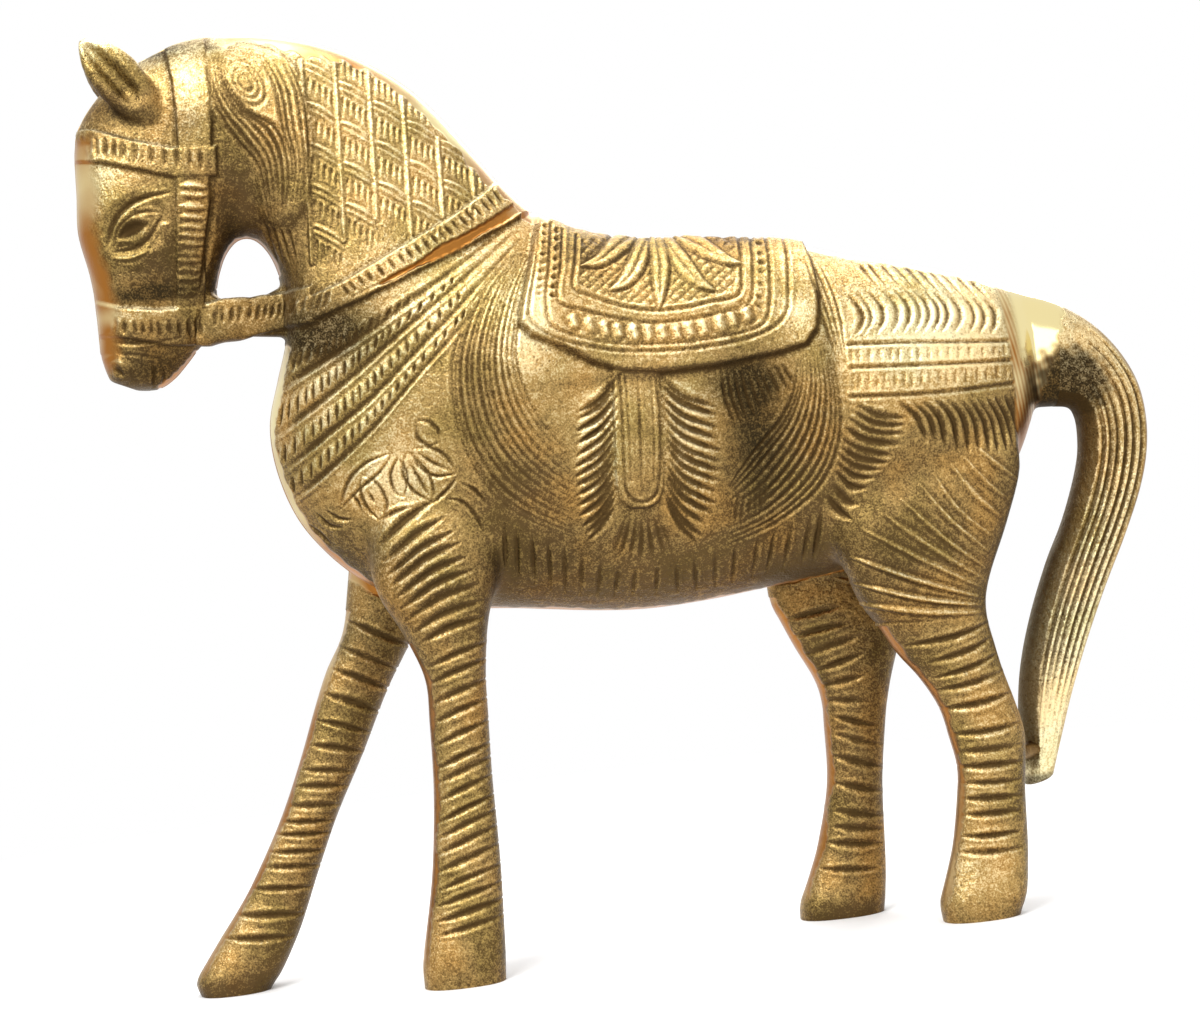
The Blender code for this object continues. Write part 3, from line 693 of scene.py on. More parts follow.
LEGS = (
    Leg("left_foreleg", -1, (
        (0, -71.5, -50.2, 17, 0), (7, -71.3, -49.5, 17, 0),
        (15, -69.6, -49, 15, 0), (22, -68, -48.6, 14, 0),
        (30, -66.4, -48.2, 13.5, 0), (41, -64.8, -48, 13.5, 0),
        (53, -63.5, -47.9, 14, 0), (68, -62.8, -47.2, 14.5, 0),
        (80, -62.7, -46.6, 16, 0.3), (92, -67, -44.6, 18, 0.8),
        (106, -73.5, -40.5, 18.6, 1.4), (120, -71.5, -39.5, 15, 0.6),
        (136, -66, -43, 6, 0),
    ), Strokes((
        ((-61.5, 84.5), (-62.4, 58.1), (-64.8, 33.8), (-66.9, 13)),
        ((-55, 87), (-55.5, 60.8), (-56.8, 36.9), (-58.2, 14.5)),
        ((-46, 89.2), (-47.5, 63.1), (-48, 39.5), (-48.8, 16)),
    ), 16, 1.55, 0.62), 90),
    Leg("right_foreleg", 1, (
        (0, -129.2, -111.2, 16, 0), (4, -130.4, -107.5, 17, 0),
        (13.3, -124, -102, 15.5, 0), (21, -118, -98.4, 14, 0),
        (28.7, -112.6, -95.1, 13.5, 0), (44, -103.7, -88, 13.5, 0),
        (59.1, -96.7, -79.6, 14, 0), (74.4, -90.5, -71.7, 15, 0),
        (83, -86.6, -66.4, 16.5, 0.2), (92, -81.6, -60, 18, 0.6),
        (106, -78.5, -48, 19, 1.4), (120, -76, -41, 17.6, 1.2),
        (136, -72, -42, 8, 0),
    ), Strokes((
        ((-79.5, 97.2), (-87.5, 78.2), (-95.7, 58), (-103.2, 44.2), (-110.8, 31),
         (-122.8, 13.4)),
        ((-71.5, 92.8), (-80.3, 75.2), (-89, 57.2), (-96.5, 43.5), (-102.9, 30.3),
         (-113.8, 12.5)),
        ((-62.5, 88), (-72.9, 71.2), (-82.2, 56), (-89.5, 43), (-94.8, 29.6),
         (-104.6, 11.7)),
    ), 16, 1.55, 0.6), 98),
    Leg("left_hind_leg", -1, (
        (0, 66.4, 86.6, 16.5, 0), (5.3, 66, 89.1, 17, 0),
        (12.9, 68.5, 90.3, 15, 0), (20.5, 70.9, 91, 14, 0),
        (32.2, 73.2, 91.6, 13.5, 0), (40, 74.1, 92.5, 13.5, 0),
        (48.1, 72.8, 93, 14, 0), (56.3, 71, 91.2, 14.5, 0),
        (64.7, 66.6, 88.9, 15.5, 0), (72, 61.2, 87.4, 17, 0.2),
        (80, 56.8, 86.1, 18.5, 0.6), (88, 52, 87.3, 20, 1.4),
        (104, 47, 94.5, 20, 2.2), (120, 46, 100, 17, 1),
        (136, 52, 96, 8, 0),
    ), Strokes((
        ((60.5, 76.2), (69, 67.8), (70, 60), (73, 49.5), (73.5, 40.4), (74, 33.7),
         (73.2, 24.5), (70.8, 16.4)),
        ((74, 76.9), (78.4, 69.6), (79.3, 61), (82.4, 49.6), (82, 40.1), (81.8, 33.2),
         (80.6, 24.2), (79, 15.6)),
        ((85.5, 79.2), (86, 72.4), (88.5, 62.9), (90.8, 50.6), (90.4, 40), (89.5, 32.9),
         (88.6, 24.3), (87.6, 15.6)),
    ), 13, 1.7, 0.6), 80),
    Leg("right_hind_leg", 1, (
        (0, 33.4, 56.3, 16.5, 0), (4.3, 33.8, 57.2, 17, 0),
        (12.1, 37.1, 58.2, 15, 0), (20, 40.2, 58.7, 14, 0),
        (35.8, 44.4, 59.8, 13.5, 0), (52.1, 45.3, 62.4, 14, 0),
        (58, 45.4, 63.7, 14.5, 0), (64.5, 44, 65.6, 15.5, 0),
        (73.3, 39.8, 69, 17, 0.2), (81, 36.6, 73.4, 18.5, 0.6),
        (88, 34.2, 78.5, 20, 1.4), (104, 34, 89, 20, 2),
        (120, 38, 98, 17, 1), (136, 48, 96, 8, 0),
    ), Strokes((
        ((37.7, 84.2), (38.7, 76.5), (43.4, 69.2), (44.9, 62.2), (47, 56), (46.8, 48.4),
         (46, 37.7), (44.8, 26.9), (42.3, 21), (38.8, 11.6)),
        ((44, 85.3), (46.5, 78), (50, 71.3), (50.5, 63), (52, 54.5), (52.5, 46.2),
         (52, 35.8), (50.6, 25.6), (49, 20), (46, 10.8)),
        ((51, 86.2), (54.4, 79), (57.4, 73.3), (56.5, 63.6), (58.5, 52.6), (60, 43.7),
         (59, 33.7), (58, 24.3), (57, 19), (55, 10)),
    ), 14, 1.7, 0.6), 88),
)


def collar_wear_and_light(x: np.ndarray, z: np.ndarray) -> tuple[np.ndarray, np.ndarray, np.ndarray]:
    """Wearing of the metal and painted light round the root of the tail: brushed collar, polish
    with a painted highlight on top, painted shade below.

    Args:
        x: Places along X.
        z: Places along Z.

    Returns:
        The brushed zone, the polish with its painted highlight within it, and the painted shade
        below it, each 0 to 1.
    """
    ragged = np.sin(x * 1.3 + z * 0.9) + 0.6 * np.sin(z * 2.1 - x * 0.7)
    edge = x + 0.4 * (157.0 - z) + 0.5 * ragged
    zone = smoothstep(99.2, 100.4, x) * smoothstep(119.0, 117.0, edge)
    # Painted shade in the crease below the collar, where tail and rump meet
    soot = smoothstep(1.3, 0.7, np.hypot((x - 117.0) / 10.5, (z - 137.0) / 10.0) + 0.1 * ragged)
    # Polish on the upper part only, where the highlight falls: partly buffed metal, partly a
    # painted highlight
    polish_and_highlight = zone * smoothstep(141.0, 148.0, z + ragged) * (1 - soot) * smoothstep(101.0, 104.5, x)
    return zone, polish_and_highlight, soot


def brushed(places: np.ndarray, zone: np.ndarray) -> np.ndarray:
    """Change of lightness on the collar: streaks where a brush ran across it, darker overall, and
    paler towards the bottom.

    Args:
        places: The corners.
        zone: How smooth each is, from 0 to 1.

    Returns:
        The change for each corner.
    """
    x, _, z = places.T
    streaks = 0.12 * np.sin(5.2 * x + 0.9 * z) - 0.14
    return zone * (streaks + 0.38 * smoothstep(150.0, 138.0, z))


@dataclass
class Tail:
    """The tail, drawn as sections from its outer to its inner edge, and its collar of braze."""

    # Outer edge (x, z), inner edge (x, z) and half width of each section
    stations: tuple[tuple[float, ...], ...] = (
        (107.5, 162.6, 108, 131.5, 10), (116, 159.3, 113.8, 131.2, 9.6),
        (125.4, 153, 118, 130.3, 9), (132.2, 145.3, 119.6, 127.4, 8.6),
        (136.8, 136.3, 119.8, 122.6, 8.2), (138.4, 127, 119, 116.5, 7.9),
        (137.8, 117.5, 116.4, 108.5, 7.7), (135, 107.5, 112.6, 99.5, 7.5),
        (129.6, 95.5, 107.4, 89.5, 7.4), (122.5, 81.8, 101.9, 76.5, 7.2),
        (116, 68, 97.9, 63.8, 7), (110.6, 55, 95.9, 52, 6.6),
        (106.2, 42.5, 95.5, 41.5, 5.6), (103.2, 33.4, 95.4, 32, 4.2),
    )
    fullness: float = 0.85    # roundness of the sections, 1 = an ellipse
    # Shares of the width, from the outer edge, where the grooves between locks run
    strands: tuple[float, ...] = (0.12, 0.25, 0.37, 0.49, 0.6, 0.71)
    lock_width: float = 1.45    # width of these grooves
    lock_depth: float = 0.85    # depth of these grooves
    corners: int = 112
    rings: int = 380

    def sections(self, places: np.ndarray, corners: int) -> np.ndarray:
        """Rings across the tail at places counted in stations.

        Args:
            places: The places.
            corners: Corners of one ring.

        Returns:
            The corners, ring by ring.
        """
        rows = spline(self.stations, places)
        c, s = (full(value, self.fullness) for value in circle(corners))
        share = (1 - c) / 2
        x = rows[:, 0:1] * (1 - share) + rows[:, 2:3] * share
        z = rows[:, 1:2] * (1 - share) + rows[:, 3:4] * share
        y = -s * rows[:, 4:5]
        return np.stack([x, y, z], axis=2)

    def collar_form(self) -> Piece:
        """The collar between rump and tail, a little longer at both ends than it will be."""
        rings = self.sections(np.linspace(0, 1, 7), 60)
        first, last = rings[0] - [1.5, 0, 0], rings[-1] + [1.5, 0, 0]
        return rolled_tube("collar_form", np.concatenate([first[None], rings, last[None]]))

    def collar_plane(self, station: int) -> tuple[Vector, Vector]:
        """A point of a section's plane and the direction square to it."""
        out_x, out_z, in_x, in_z, _ = self.stations[station]
        return Vector((in_x, 0, in_z)), Vector((out_z - in_z, 0, in_x - out_x)).normalized()

    def path(self, share: float) -> Path:
        """A line down the tail at a share of its width from the outer edge."""
        rows = np.asarray(self.stations)[1:]
        points = rows[:, 0:2] * (1 - share) + rows[:, 2:4] * share
        return tuple(map(tuple, points))

    def blunt_end(self, end: np.ndarray) -> np.ndarray:
        """Rings that round off the tip below the last section.

        Args:
            end: The last ring.

        Returns:
            The rings.
        """
        middle = end.mean(0)
        drop = np.array([-0.6, 0.0, -1.0])
        cap = [middle + (end - middle) * size + drop * fall
               for size, fall in ((0.94, 0.5), (0.8, 0.9), (0.55, 1.2), (0.2, 1.35))]
        return np.stack(cap)

    def build(self) -> Piece:
        """Loft the tail from the collar to its blunt tip and cut the locks.

        Returns:
            The tail.
        """
        last = len(self.stations) - 1
        count = self.rings
        rings = self.sections(np.linspace(1, last, count), self.corners)
        piece = rolled_tube("tail", np.concatenate([rings, self.blunt_end(rings[-1])]))
        base = places_of(piece)
        graver = Graver(base[:, 0], base[:, 2], np.ones(len(base), bool), seed=41)
        for share in self.strands:
            line = spline(self.path(share), np.linspace(1.0, last - 1.7, 90))
            graver.cut(line, self.lock_width, self.lock_depth, Taper.LEAF)
        height, patina = graver.result(len(base))
        self.wear_and_shade(piece, height, patina)
        return piece

    def wear_and_shade(self, piece: Piece, height: np.ndarray, patina: np.ndarray) -> None:
        """Press in the cuts, but leave the edges and the tip smooth, and paint the tail's wearing,
        light and shade.

        Args:
            piece: The plain tail, which is changed.
            height: Height of the cuts at each corner.
            patina: The darkness of the cuts at each corner.
        """
        base, out = places_of(piece), normals_of(piece)
        x, _, z = base.T
        from_inner, _ = line_distance(base[:, [0, 2]], np.asarray(self.path(0.97)))
        from_outer, _ = line_distance(base[:, [0, 2]], np.asarray(self.path(0.0)))
        # The inner band is smooth and painted deep brown, as painted shade on the side that turns
        # away from the light
        inner = smoothstep(3.8, 2.8, from_inner) * smoothstep(33.0, 40.0, z)
        rim = 0.7 * smoothstep(1.6, 0.6, from_outer)
        strip = np.maximum(inner, rim)
        tip = smoothstep(68.0, 46.0, z)
        # Painted shade at the foot of the tip, in the gap where it meets the hock
        foot = smoothstep(35.0, 33.0, z)
        zone, polish_and_highlight, soot = collar_wear_and_light(x, z)
        ground = np.maximum(zone, 0.3 * rim) * (1 - soot)
        height = height * (1 - np.maximum(zone, 0.85 * np.maximum(strip, 0.9 * tip)))
        # The painted shade of the inner band goes in with the darkness of the cuts
        patina = np.maximum(0.9 * (patina * (1 - 0.9 * tip)), inner)
        # Painted shade below the collar and at the foot of the tip
        soot = np.maximum(soot * smoothstep(0.8, 0.2, height), 0.8 * foot)
        move_to(piece, base + out * height[:, None])
        # Painted light and shade by the way each face turns; raised parts paler, cuts darker, the
        # edge strips darker still
        light_and_tone = painted_light_tone(out, normals_of(piece)) + 0.4 * height - 0.3 * strip
        # Paler towards the tip, and the collar's brushed change
        light_and_tone += 0.2 + 0.4 * smoothstep(125.0, 65.0, z) + brushed(base, zone)
        paint(piece, patina * (1 - zone), ground, soot * (1 - polish_and_highlight), polish_and_highlight, light_and_tone)


@dataclass
class Ear:
    """One cupped ear, cast in one with the head."""

    side: int    # -1 for left, 1 for right
    # Place (x, z), half width and half thickness of sections up the ear
    stations: tuple[tuple[float, ...], ...] = (
        (-114.5, 230.5, 3, 2.4), (-118, 235, 5.4, 3.8), (-121.3, 239.6, 6.3, 4.3),
        (-124.3, 243.8, 6.5, 4.1), (-127.7, 248.2, 5.2, 3.3), (-130.5, 251.8, 2.6, 2),
        (-131.7, 253.2, 0.9, 0.9),
    )
    lean: float = 11.3    # from the middle plane to the middle of the ear
    slot_depth: float = 1.15    # depth of the cup, as a share of the thickness
    rings: int = 37
    corners: int = 48

    def build(self) -> Piece:
        """Loft the ear with its cup pressed into the outer face.

        Returns:
            The form.
        """
        last = len(self.stations) - 1
        rows = spline(self.stations, np.linspace(0, last, self.rings))
        u, v = circle(self.corners)
        up = np.subtract(self.stations[-1][:2], self.stations[0][:2])
        up /= np.linalg.norm(up)
        height = np.linspace(0, 1, len(rows))[:, None]
        cup = smoothstep(0.12, 0.34, height) * smoothstep(0.97, 0.78, height)
        slot = np.exp(-(((u + 0.06) / 0.36) ** 2)) * (v > 0) * cup * self.slot_depth
        rib = 0.34 * np.exp(-(((u + 0.05) / 0.11) ** 2)) * (v > 0) * cup
        across = rows[:, 2:3] * u
        x = rows[:, 0:1] + across * up[1]
        z = rows[:, 1:2] - across * up[0]
        y = self.side * (self.lean + rows[:, 3:4] * (v - slot + rib))
        return rolled_tube("ear_form", np.stack([x, y, z], axis=2))


@dataclass
class Rein:
    """The short rein that closes the gap below the throat."""

    outline: Path = (
        (-110, 172.2), (-104, 173.4), (-98, 173.3), (-92.4, 172.6), (-86, 171.8),
        (-82, 172), (-82, 185.6), (-85.9, 185.6), (-88.4, 184.8), (-92, 183.3),
        (-98, 182.9), (-103.8, 183.6), (-106, 185.4), (-110, 184),
    )
    half: float = 8.2    # half its width, from flank to flank
    # For each ring, its share of the half width and of the side view's size
    profile: tuple[Point, ...] = (
        (-1, 0.86), (-0.94, 0.95), (-0.82, 1), (0.82, 1), (0.94, 0.95), (1, 0.86),
    )

    def build(self) -> Piece:
        """Draw the rein's side view out from flank to flank, with soft edges.

        Returns:
            The form.
        """
        outline = np.asarray(self.outline)
        middle = outline.mean(0)
        rings = []
        for y, size in self.profile:
            ring = middle + (outline - middle) * [1.0, size]
            rings.append(np.stack([ring[:, 0], np.full(len(ring), y * self.half), ring[:, 1]], 1))
        return rolled_tube("rein_form", np.stack(rings))


@dataclass
class Dressing:
    """Relief and cuts of one part of the harness or the coat."""

    reliefs: tuple[Raised, ...] = ()    # what is raised or, with a rise below zero, pressed in
    cuts: tuple[Ornament, ...] = ()    # chisel strokes and lines

    def shape(self, graver: Graver) -> None:
        """Raise and press in the relief."""
        for relief in self.reliefs:
            graver.raise_up(relief)

    def engrave(self, graver: Graver) -> None:
        """Cut the strokes."""
        graver.work(self.cuts)


def leaf(path: Path, width: float, depth: float, raised: bool = False) -> Groove:
    """A line that swells from a fine start and thins out again."""
    return Groove(path, width, depth, Taper.LEAF, raised)


def between(first: Path, second: Path, share: float) -> Path:
    """A path at a share of the way from one path to another with as many points."""
    mixed = np.asarray(first) * (1 - share) + np.asarray(second) * share
    return tuple(map(tuple, mixed))


def oval(middle: Point, long: float, short: float, turn: float) -> Path:
    """A closed oval whose long half axis is turned from the X axis, in degrees.

    Args:
        middle: Its middle.
        long: The long half axis.
        short: The short half axis.
        turn: How far it is turned.

    Returns:
        Its corners.
    """
    c, s = math.cos(math.radians(turn)), math.sin(math.radians(turn))
    steps = [(long * math.cos(k * math.pi / 7), short * math.sin(k * math.pi / 7))
             for k in range(15)]
    return tuple((middle[0] - a * c + b * s, middle[1] + a * s + b * c) for a, b in steps)


def rungs(first: Path, second: Path, count: int, width: float, depth: float,
          reach: tuple[float, float] = (0.2, 0.8), lean: float = 0.0) -> Strokes:
    """Short strokes across the strip between two paths, whose far ends lean along X."""
    near, far = (between(first, second, share) for share in reach)
    guides = (near, tuple((x + lean, z) for x, z in far))
    return Strokes(guides, count, width, depth)


@dataclass
class Bridle(Dressing):
    """Brow band, crown strap, cheek piece, nose band, neck strap and the ticks on them."""

    reliefs: tuple[Raised, ...] = (
        Raised((
            (-27, 207), (-42, 198), (-56.6, 191.4), (-73, 183.8), (-84, 180.2),
            (-84.4, 173.9), (-68.3, 179.2), (-52.2, 185.1), (-35.9, 191.2), (-19, 198.4),
        ), 1.6),
        Raised((
            (-140, 231.6), (-130.5, 229.8), (-122, 226.3), (-112, 223.2), (-100.2, 222.5),
            (-100.9, 214.9), (-111.7, 215.6), (-120.3, 218.4), (-130.2, 221.5), (-140, 223.2),
        ), 1.5),
        Raised((
            (-111.1, 254), (-109.6, 240.4), (-109.5, 232.7), (-110.1, 220), (-101.7, 220),
            (-100.7, 229.2), (-100, 239.5), (-100.1, 254),
        ), 1.35),
        Raised((
            (-111, 218.4), (-113, 202), (-115.4, 180), (-108.6, 180), (-105.9, 198.8),
            (-103.6, 209), (-102.4, 218.4),
        ), 1.2),
        Raised((
            (-140, 187.6), (-129.5, 184.1), (-119.4, 182.4), (-110.3, 182.6), (-104, 183.2),
            (-96, 182.6), (-80, 184), (-80, 174.6), (-96, 173.6), (-106, 172.4),
            (-117.9, 173.1), (-127.8, 176), (-140, 177.9),
        ), 1.35),
    )
    cuts: tuple[Ornament, ...] = (
        Strokes((
            ((-136.5, 229.5), (-124.5, 226.5), (-104, 222)),
            ((-136.5, 224.5), (-125, 221.5), (-104, 216.5)),
        ), 14, 1.2, 0.45),
        Strokes((
            ((-110.5, 214), (-112, 203.5), (-113.5, 194), (-114.5, 185.5)),
            ((-104, 213), (-105.5, 202.5), (-108, 193.5), (-110, 185.5)),
        ), 13, 1.6, 0.6, raised=True),
        Strokes((
            ((-134.5, 182.5), (-122, 180), (-109, 179.5)),
            ((-135, 178.5), (-122, 175.8), (-109, 174.5)),
        ), 13, 1.2, 0.5),
        Strokes((
            ((-29.5, 204), (-42, 197), (-56.6, 190.2), (-73, 183)),
            ((-27.5, 200.5), (-39.5, 193.6), (-54.8, 186.8), (-71.5, 180)),
        ), 21, 0.85, 0.6),
        Strokes((
            ((-75, 182.5), (-85, 181), (-95, 181), (-105.5, 181.5)),
            ((-77, 178), (-86.5, 177), (-96, 176.8), (-106.5, 176.8)),
        ), 15, 1.2, 0.45),
    )


@dataclass
class Face(Dressing):
    """Eye, nostril and mouth."""

    reliefs: tuple[Raised, ...] = (
        Raised(((-131, 203), (-127.5, 209.5), (-120.5, 212), (-115.5, 208),
                (-116.5, 201), (-122, 197.5), (-129, 197.5)), -0.9, 3, True),
        Raised(((-136, 171), (-132, 172), (-128.5, 168.5), (-130, 165),
                (-134.5, 166)), 0.5, 1.6, True),
        Raised(((-113, 196), (-107, 198), (-101, 201), (-100, 192),
                (-107, 186), (-113, 188)), 0.5, 4, True),
    )
    cuts: tuple[Ornament, ...] = (
        leaf(((-131, 199.7), (-129.5, 204.6), (-126.4, 208.4), (-122.2, 210.7),
              (-117.5, 211.6), (-112.7, 211.8)), 1.3, 0.6),
        leaf(((-129.5, 199.1), (-128, 203.8), (-124.5, 206.8), (-119.8, 207.7),
              (-115.8, 206.8)), 1, 0.5),
        leaf(((-129.7, 198.2), (-125.5, 198.2), (-121.7, 199.5), (-118.9, 202.1),
              (-115.8, 206.8)), 1.1, 0.45),
        leaf(((-130, 196.8), (-125, 196.4), (-120.5, 197.8)), 1.1, 0.5, True),
        leaf(((-127.8, 201.8), (-124.6, 203.6), (-120.4, 204.4)), 3.2, 1.1),
        leaf(((-132.7, 168.9), (-131.6, 167.9), (-130.5, 166.5)), 1.3, 0.6),
        leaf(((-134, 169.8), (-132, 170.3), (-129.8, 168.8)), 1.1, 0.5, True),
        leaf(((-122.8, 169), (-122.6, 165.8), (-123.5, 162.6)), 1.2, 0.6),
        leaf(((-120.1, 167.8), (-120.1, 165), (-121.3, 162.9)), 1, 0.5),
        leaf(((-131.7, 172.3), (-126.4, 171.3), (-119.3, 169.1)), 0.8, 0.3),
        leaf(((-135.9, 176), (-128.7, 174.6), (-121.4, 174.4), (-114.9, 175.1)), 1, 0.4),
        leaf(((-101.5, 214), (-102.5, 209), (-104.8, 201.5), (-107, 193.5),
              (-109, 187)), 1.6, 0.5),
    )


@dataclass
class Mane(Dressing):
    """The swirling lock behind the poll."""

    reliefs: tuple[Raised, ...] = (
        Raised(((-101, 245.8), (-101.4, 235.6), (-96.2, 225.3), (-90.6, 217.7),
                (-90, 209.9), (-89.4, 203.2), (-85.1, 200.6), (-80, 204.3),
                (-76.8, 217), (-76.2, 229.3), (-78.4, 240.8), (-85.9, 246.6),
                (-93.8, 248.4)), 1.1, 5, True),
    )
    cuts: tuple[Ornament, ...] = (
        Strokes((
            ((-101, 245.7), (-97.5, 245.4), (-94.5, 245)),
            ((-100.6, 239.2), (-97.8, 239), (-95.8, 239.4)),
            ((-99.3, 231.5), (-95, 231.6), (-91, 230.4)),
            ((-95.6, 223.6), (-90, 225), (-84.6, 226)),
            ((-90.8, 216.6), (-86.6, 218.2), (-82.4, 219.4)),
            ((-89.6, 209.8), (-86.2, 210.4), (-82.4, 211.3)),
            ((-88.9, 202.4), (-86.6, 202.6), (-84.2, 203.3)),
        ), 6, 1.4, 0.6),
        *(leaf(oval((-90.8, 237.4), size, 0.62 * size, 62.0), 1.0, 0.32)
          for size in (2.3, 4.3, 6.4)),
        Strokes((
            ((-88, 244.6), (-83.6, 243.5), (-79, 242)),
            ((-84.4, 236.5), (-80.4, 235), (-76.6, 233)),
            ((-83.5, 225.6), (-79.9, 224.3), (-76.4, 222.1)),
            ((-81.8, 216.3), (-79.4, 215.6), (-77.4, 214.5)),
            ((-83.4, 206.3), (-81.4, 205.8), (-79.6, 206.4)),
        ), 5, 1.2, 0.5),
        Strokes((
            ((-91, 202), (-87.5, 200), (-84, 199.5)),
            ((-88, 191), (-85.5, 190), (-82.5, 190)),
        ), 4, 1.2, 0.4, Taper.WEDGE),
    )


@dataclass
class NeckLattice(Dressing):
    """The neck's basket work: leaf pairs over short strokes, in columns that step down the neck."""

    origin: Point = (-68.5, 226.0)    # upper corner of the first cell
    step_along: Point = (8.2, -5.9)    # from one column to the next
    step_down: Point = (-0.7, -10.5)    # from one row to the next
    area: Path = (
        (-75, 242.5), (-61.5, 238.5), (-52.5, 231), (-43, 222), (-36, 211.5),
        (-31, 204.5), (-45.5, 197), (-60.5, 192), (-72, 186.5), (-77.5, 186.5),
        (-78, 200), (-75, 215), (-75.5, 230),
    )
    columns: tuple[int, int] = (-3, 6)    # first column, and the one after the last
    rows: tuple[int, int] = (-6, 7)    # first row, and the one after the last

    def at(self, along_cell: float, down_cell: float) -> Point:
        """A place counted in cells from the origin.

        Args:
            along_cell: Cells along the neck.
            down_cell: Cells down.

        Returns:
            The place.
        """
        return tuple(
            o + a * along_cell + d * down_cell
            for o, a, d in zip(self.origin, self.step_along, self.step_down)
        )

    def engrave(self, graver: Graver) -> None:
        """Cut the cells that lie in the worked area.

        Args:
            graver: The graver at work.
        """
        cells = [(i, j) for i in range(*self.columns) for j in range(*self.rows)]
        middles = np.array([self.at(i + 0.5, j + 0.5) for i, j in cells])
        inside = inside_distance(middles, np.asarray(self.area)) > -1.0
        for (i, j), worked in zip(cells, inside):
            if worked:
                self.cell(graver, i, j)

    def cell(self, graver: Graver, i: int, j: int) -> None:
        """Cut one cell.

        Args:
            graver: The graver.
            i: Column of the cell.
            j: Row of the cell.
        """
        for drop, depth in ((0.0, 0.5), (0.16, 0.35)):
            path = (self.at(i, j + drop + 0.04), self.at(i + 0.5, j + drop - 0.02),
                    self.at(i + 1, j + drop + 0.04))
            graver.groove(leaf(path, 1.1, depth, True))
        for side in (0.18, 0.36, 0.54, 0.72, 0.88):
            path = (self.at(i + side, j + 0.34), self.at(i + side - 0.04, j + 0.88))
            graver.groove(Groove(path, 0.9, 0.42, Taper.WEDGE))
        path = (self.at(i, j), self.at(i, j + 1))
        graver.groove(Groove(path, 0.9, 0.4, Taper.EVEN, True))


BANDS = (
    ((-27.5, 194), (-44, 184), (-58.5, 175.8), (-71, 169), (-83, 163),
     (-92.5, 158)),
    ((-26.5, 192.3), (-43, 180.6), (-59, 169.8), (-70.5, 161.5), (-82, 154),
     (-94, 146.5)),
    ((-25.8, 190), (-41.5, 176.4), (-57, 163.4), (-69, 153.5), (-81, 145.5),
     (-93.5, 137)),
    ((-27, 185), (-41.5, 171.5), (-56, 158.5), (-68, 147), (-80, 137.5),
     (-92, 129)),
)


BREAST_LEAVES = (
    ((-64.5, 139.4), (-71.6, 137.3), (-76.6, 133.1), (-79.5, 125.8)),
    ((-64.5, 139.4), (-68.3, 134.7), (-73.9, 130.8), (-79.5, 125.8)),
    ((-73.1, 134.7), (-69.2, 131.5), (-67.5, 126.5), (-69.2, 122.1)),
    ((-73.1, 134.7), (-73.7, 129.7), (-72, 124.9), (-69.2, 122.1)),
    ((-63.2, 138.2), (-65.7, 133.9), (-65.2, 129.5), (-63.1, 127.5)),
    ((-63.2, 138.2), (-61.6, 133.9), (-62, 130.4), (-63.1, 127.5)),
    ((-61, 139.2), (-62.6, 134.1), (-60.2, 128.7), (-55.4, 125.3)),
    ((-61, 139.2), (-57.4, 135.3), (-55.5, 130.7), (-55.4, 125.3)),
    ((-60.5, 136.4), (-58.8, 132.1), (-56.5, 127.2)),
    ((-59.6, 139.8), (-58.6, 135.6), (-54.4, 132.1), (-48.9, 132.3)),
    ((-59.6, 139.8), (-54.9, 139.5), (-51.1, 136.6), (-48.9, 132.3)),
    ((-58.2, 138.6), (-54.5, 135.4), (-50.7, 133.3)),
    ((-57.8, 146.9), (-58, 142.9), (-55.5, 140.2), (-52.1, 140.8)),
    ((-57.8, 146.9), (-54.8, 146.2), (-52.7, 143.9), (-52.1, 140.8)),
    ((-77, 130.1), (-74.7, 127.8), (-73.9, 124.1)),
    ((-71.9, 130), (-70.5, 126.8)),
    ((-85.1, 125.4), (-82.4, 122.1), (-79, 121.2)),
    ((-87.4, 122.7), (-84.7, 119.8), (-82.5, 117)),
    ((-83, 126.2), (-79.7, 123.6), (-76.2, 123.2)),
    ((-70.3, 122.2), (-65.5, 124.2), (-60.3, 125.1)),
    ((-56.7, 124.7), (-52.3, 127.8), (-48.8, 131.5)),
    ((-52, 126), (-48, 124.5), (-45, 120.5), (-43.5, 116.5)),
    ((-48.5, 130), (-45, 127.5), (-42, 123.5)),
)


def worn_band(path: Path, shift: Point) -> tuple[Groove, Groove]:
    """A broad dark hollow along the path and a thin ridge shifted beside it."""
    beside = tuple((x + shift[0], z + shift[1]) for x, z in path)
    return (Groove(path, 2.4, 0.6, Taper.DROP), Groove(beside, 1.2, 0.5, Taper.DROP, True))


@dataclass
class Breast(Dressing):
    """The bands that fan over the breast, with ticks between them, and the leaves below."""

    cuts: tuple[Ornament, ...] = (
        *(Groove(between(upper, lower, 0.64), 4.4, 0.5, Taper.DROP, True)
          for upper, lower in zip(BANDS, BANDS[1:])),
        *(piece for band in BANDS for piece in worn_band(band, (-0.8, -2.1))),
        Strokes((
            ((-53, 180), (-65.3, 174.6), (-76, 170), (-86.5, 167.6)),
            ((-55.5, 177), (-67, 171), (-77.5, 165.8), (-88.5, 162.8)),
        ), 16, 1.3, 0.5),
        *(rungs(upper[1:], lower[1:], 22, 0.8, 0.7, (0.38, 0.94), -1.0)
          for upper, lower in zip(BANDS, BANDS[1:])),
        *(leaf(line, 1.0, 0.55) for line in BREAST_LEAVES),
    )


@dataclass
class Shoulder(Dressing):
    """The close arcs round the shoulder boss."""

    cuts: tuple[Ornament, ...] = (
        Strokes((
            ((-29.5, 186), (-26, 186.3), (-22.5, 184.5)),
            ((-40.2, 175.6), (-33.7, 175.2), (-27.2, 173.5)),
            ((-47.5, 160), (-38.9, 160.9), (-30.4, 160.8)),
            ((-47.8, 143.1), (-38.5, 146.2), (-28.7, 150)),
            ((-42.5, 128.3), (-33.7, 135.3), (-25.2, 142.1)),
            ((-33.5, 118.8), (-27.8, 128.2), (-22.3, 137.9)),
            ((-21.3, 112), (-20.2, 122.2), (-19.3, 134.2)),
        ), 13, 1.1, 0.45),
    )


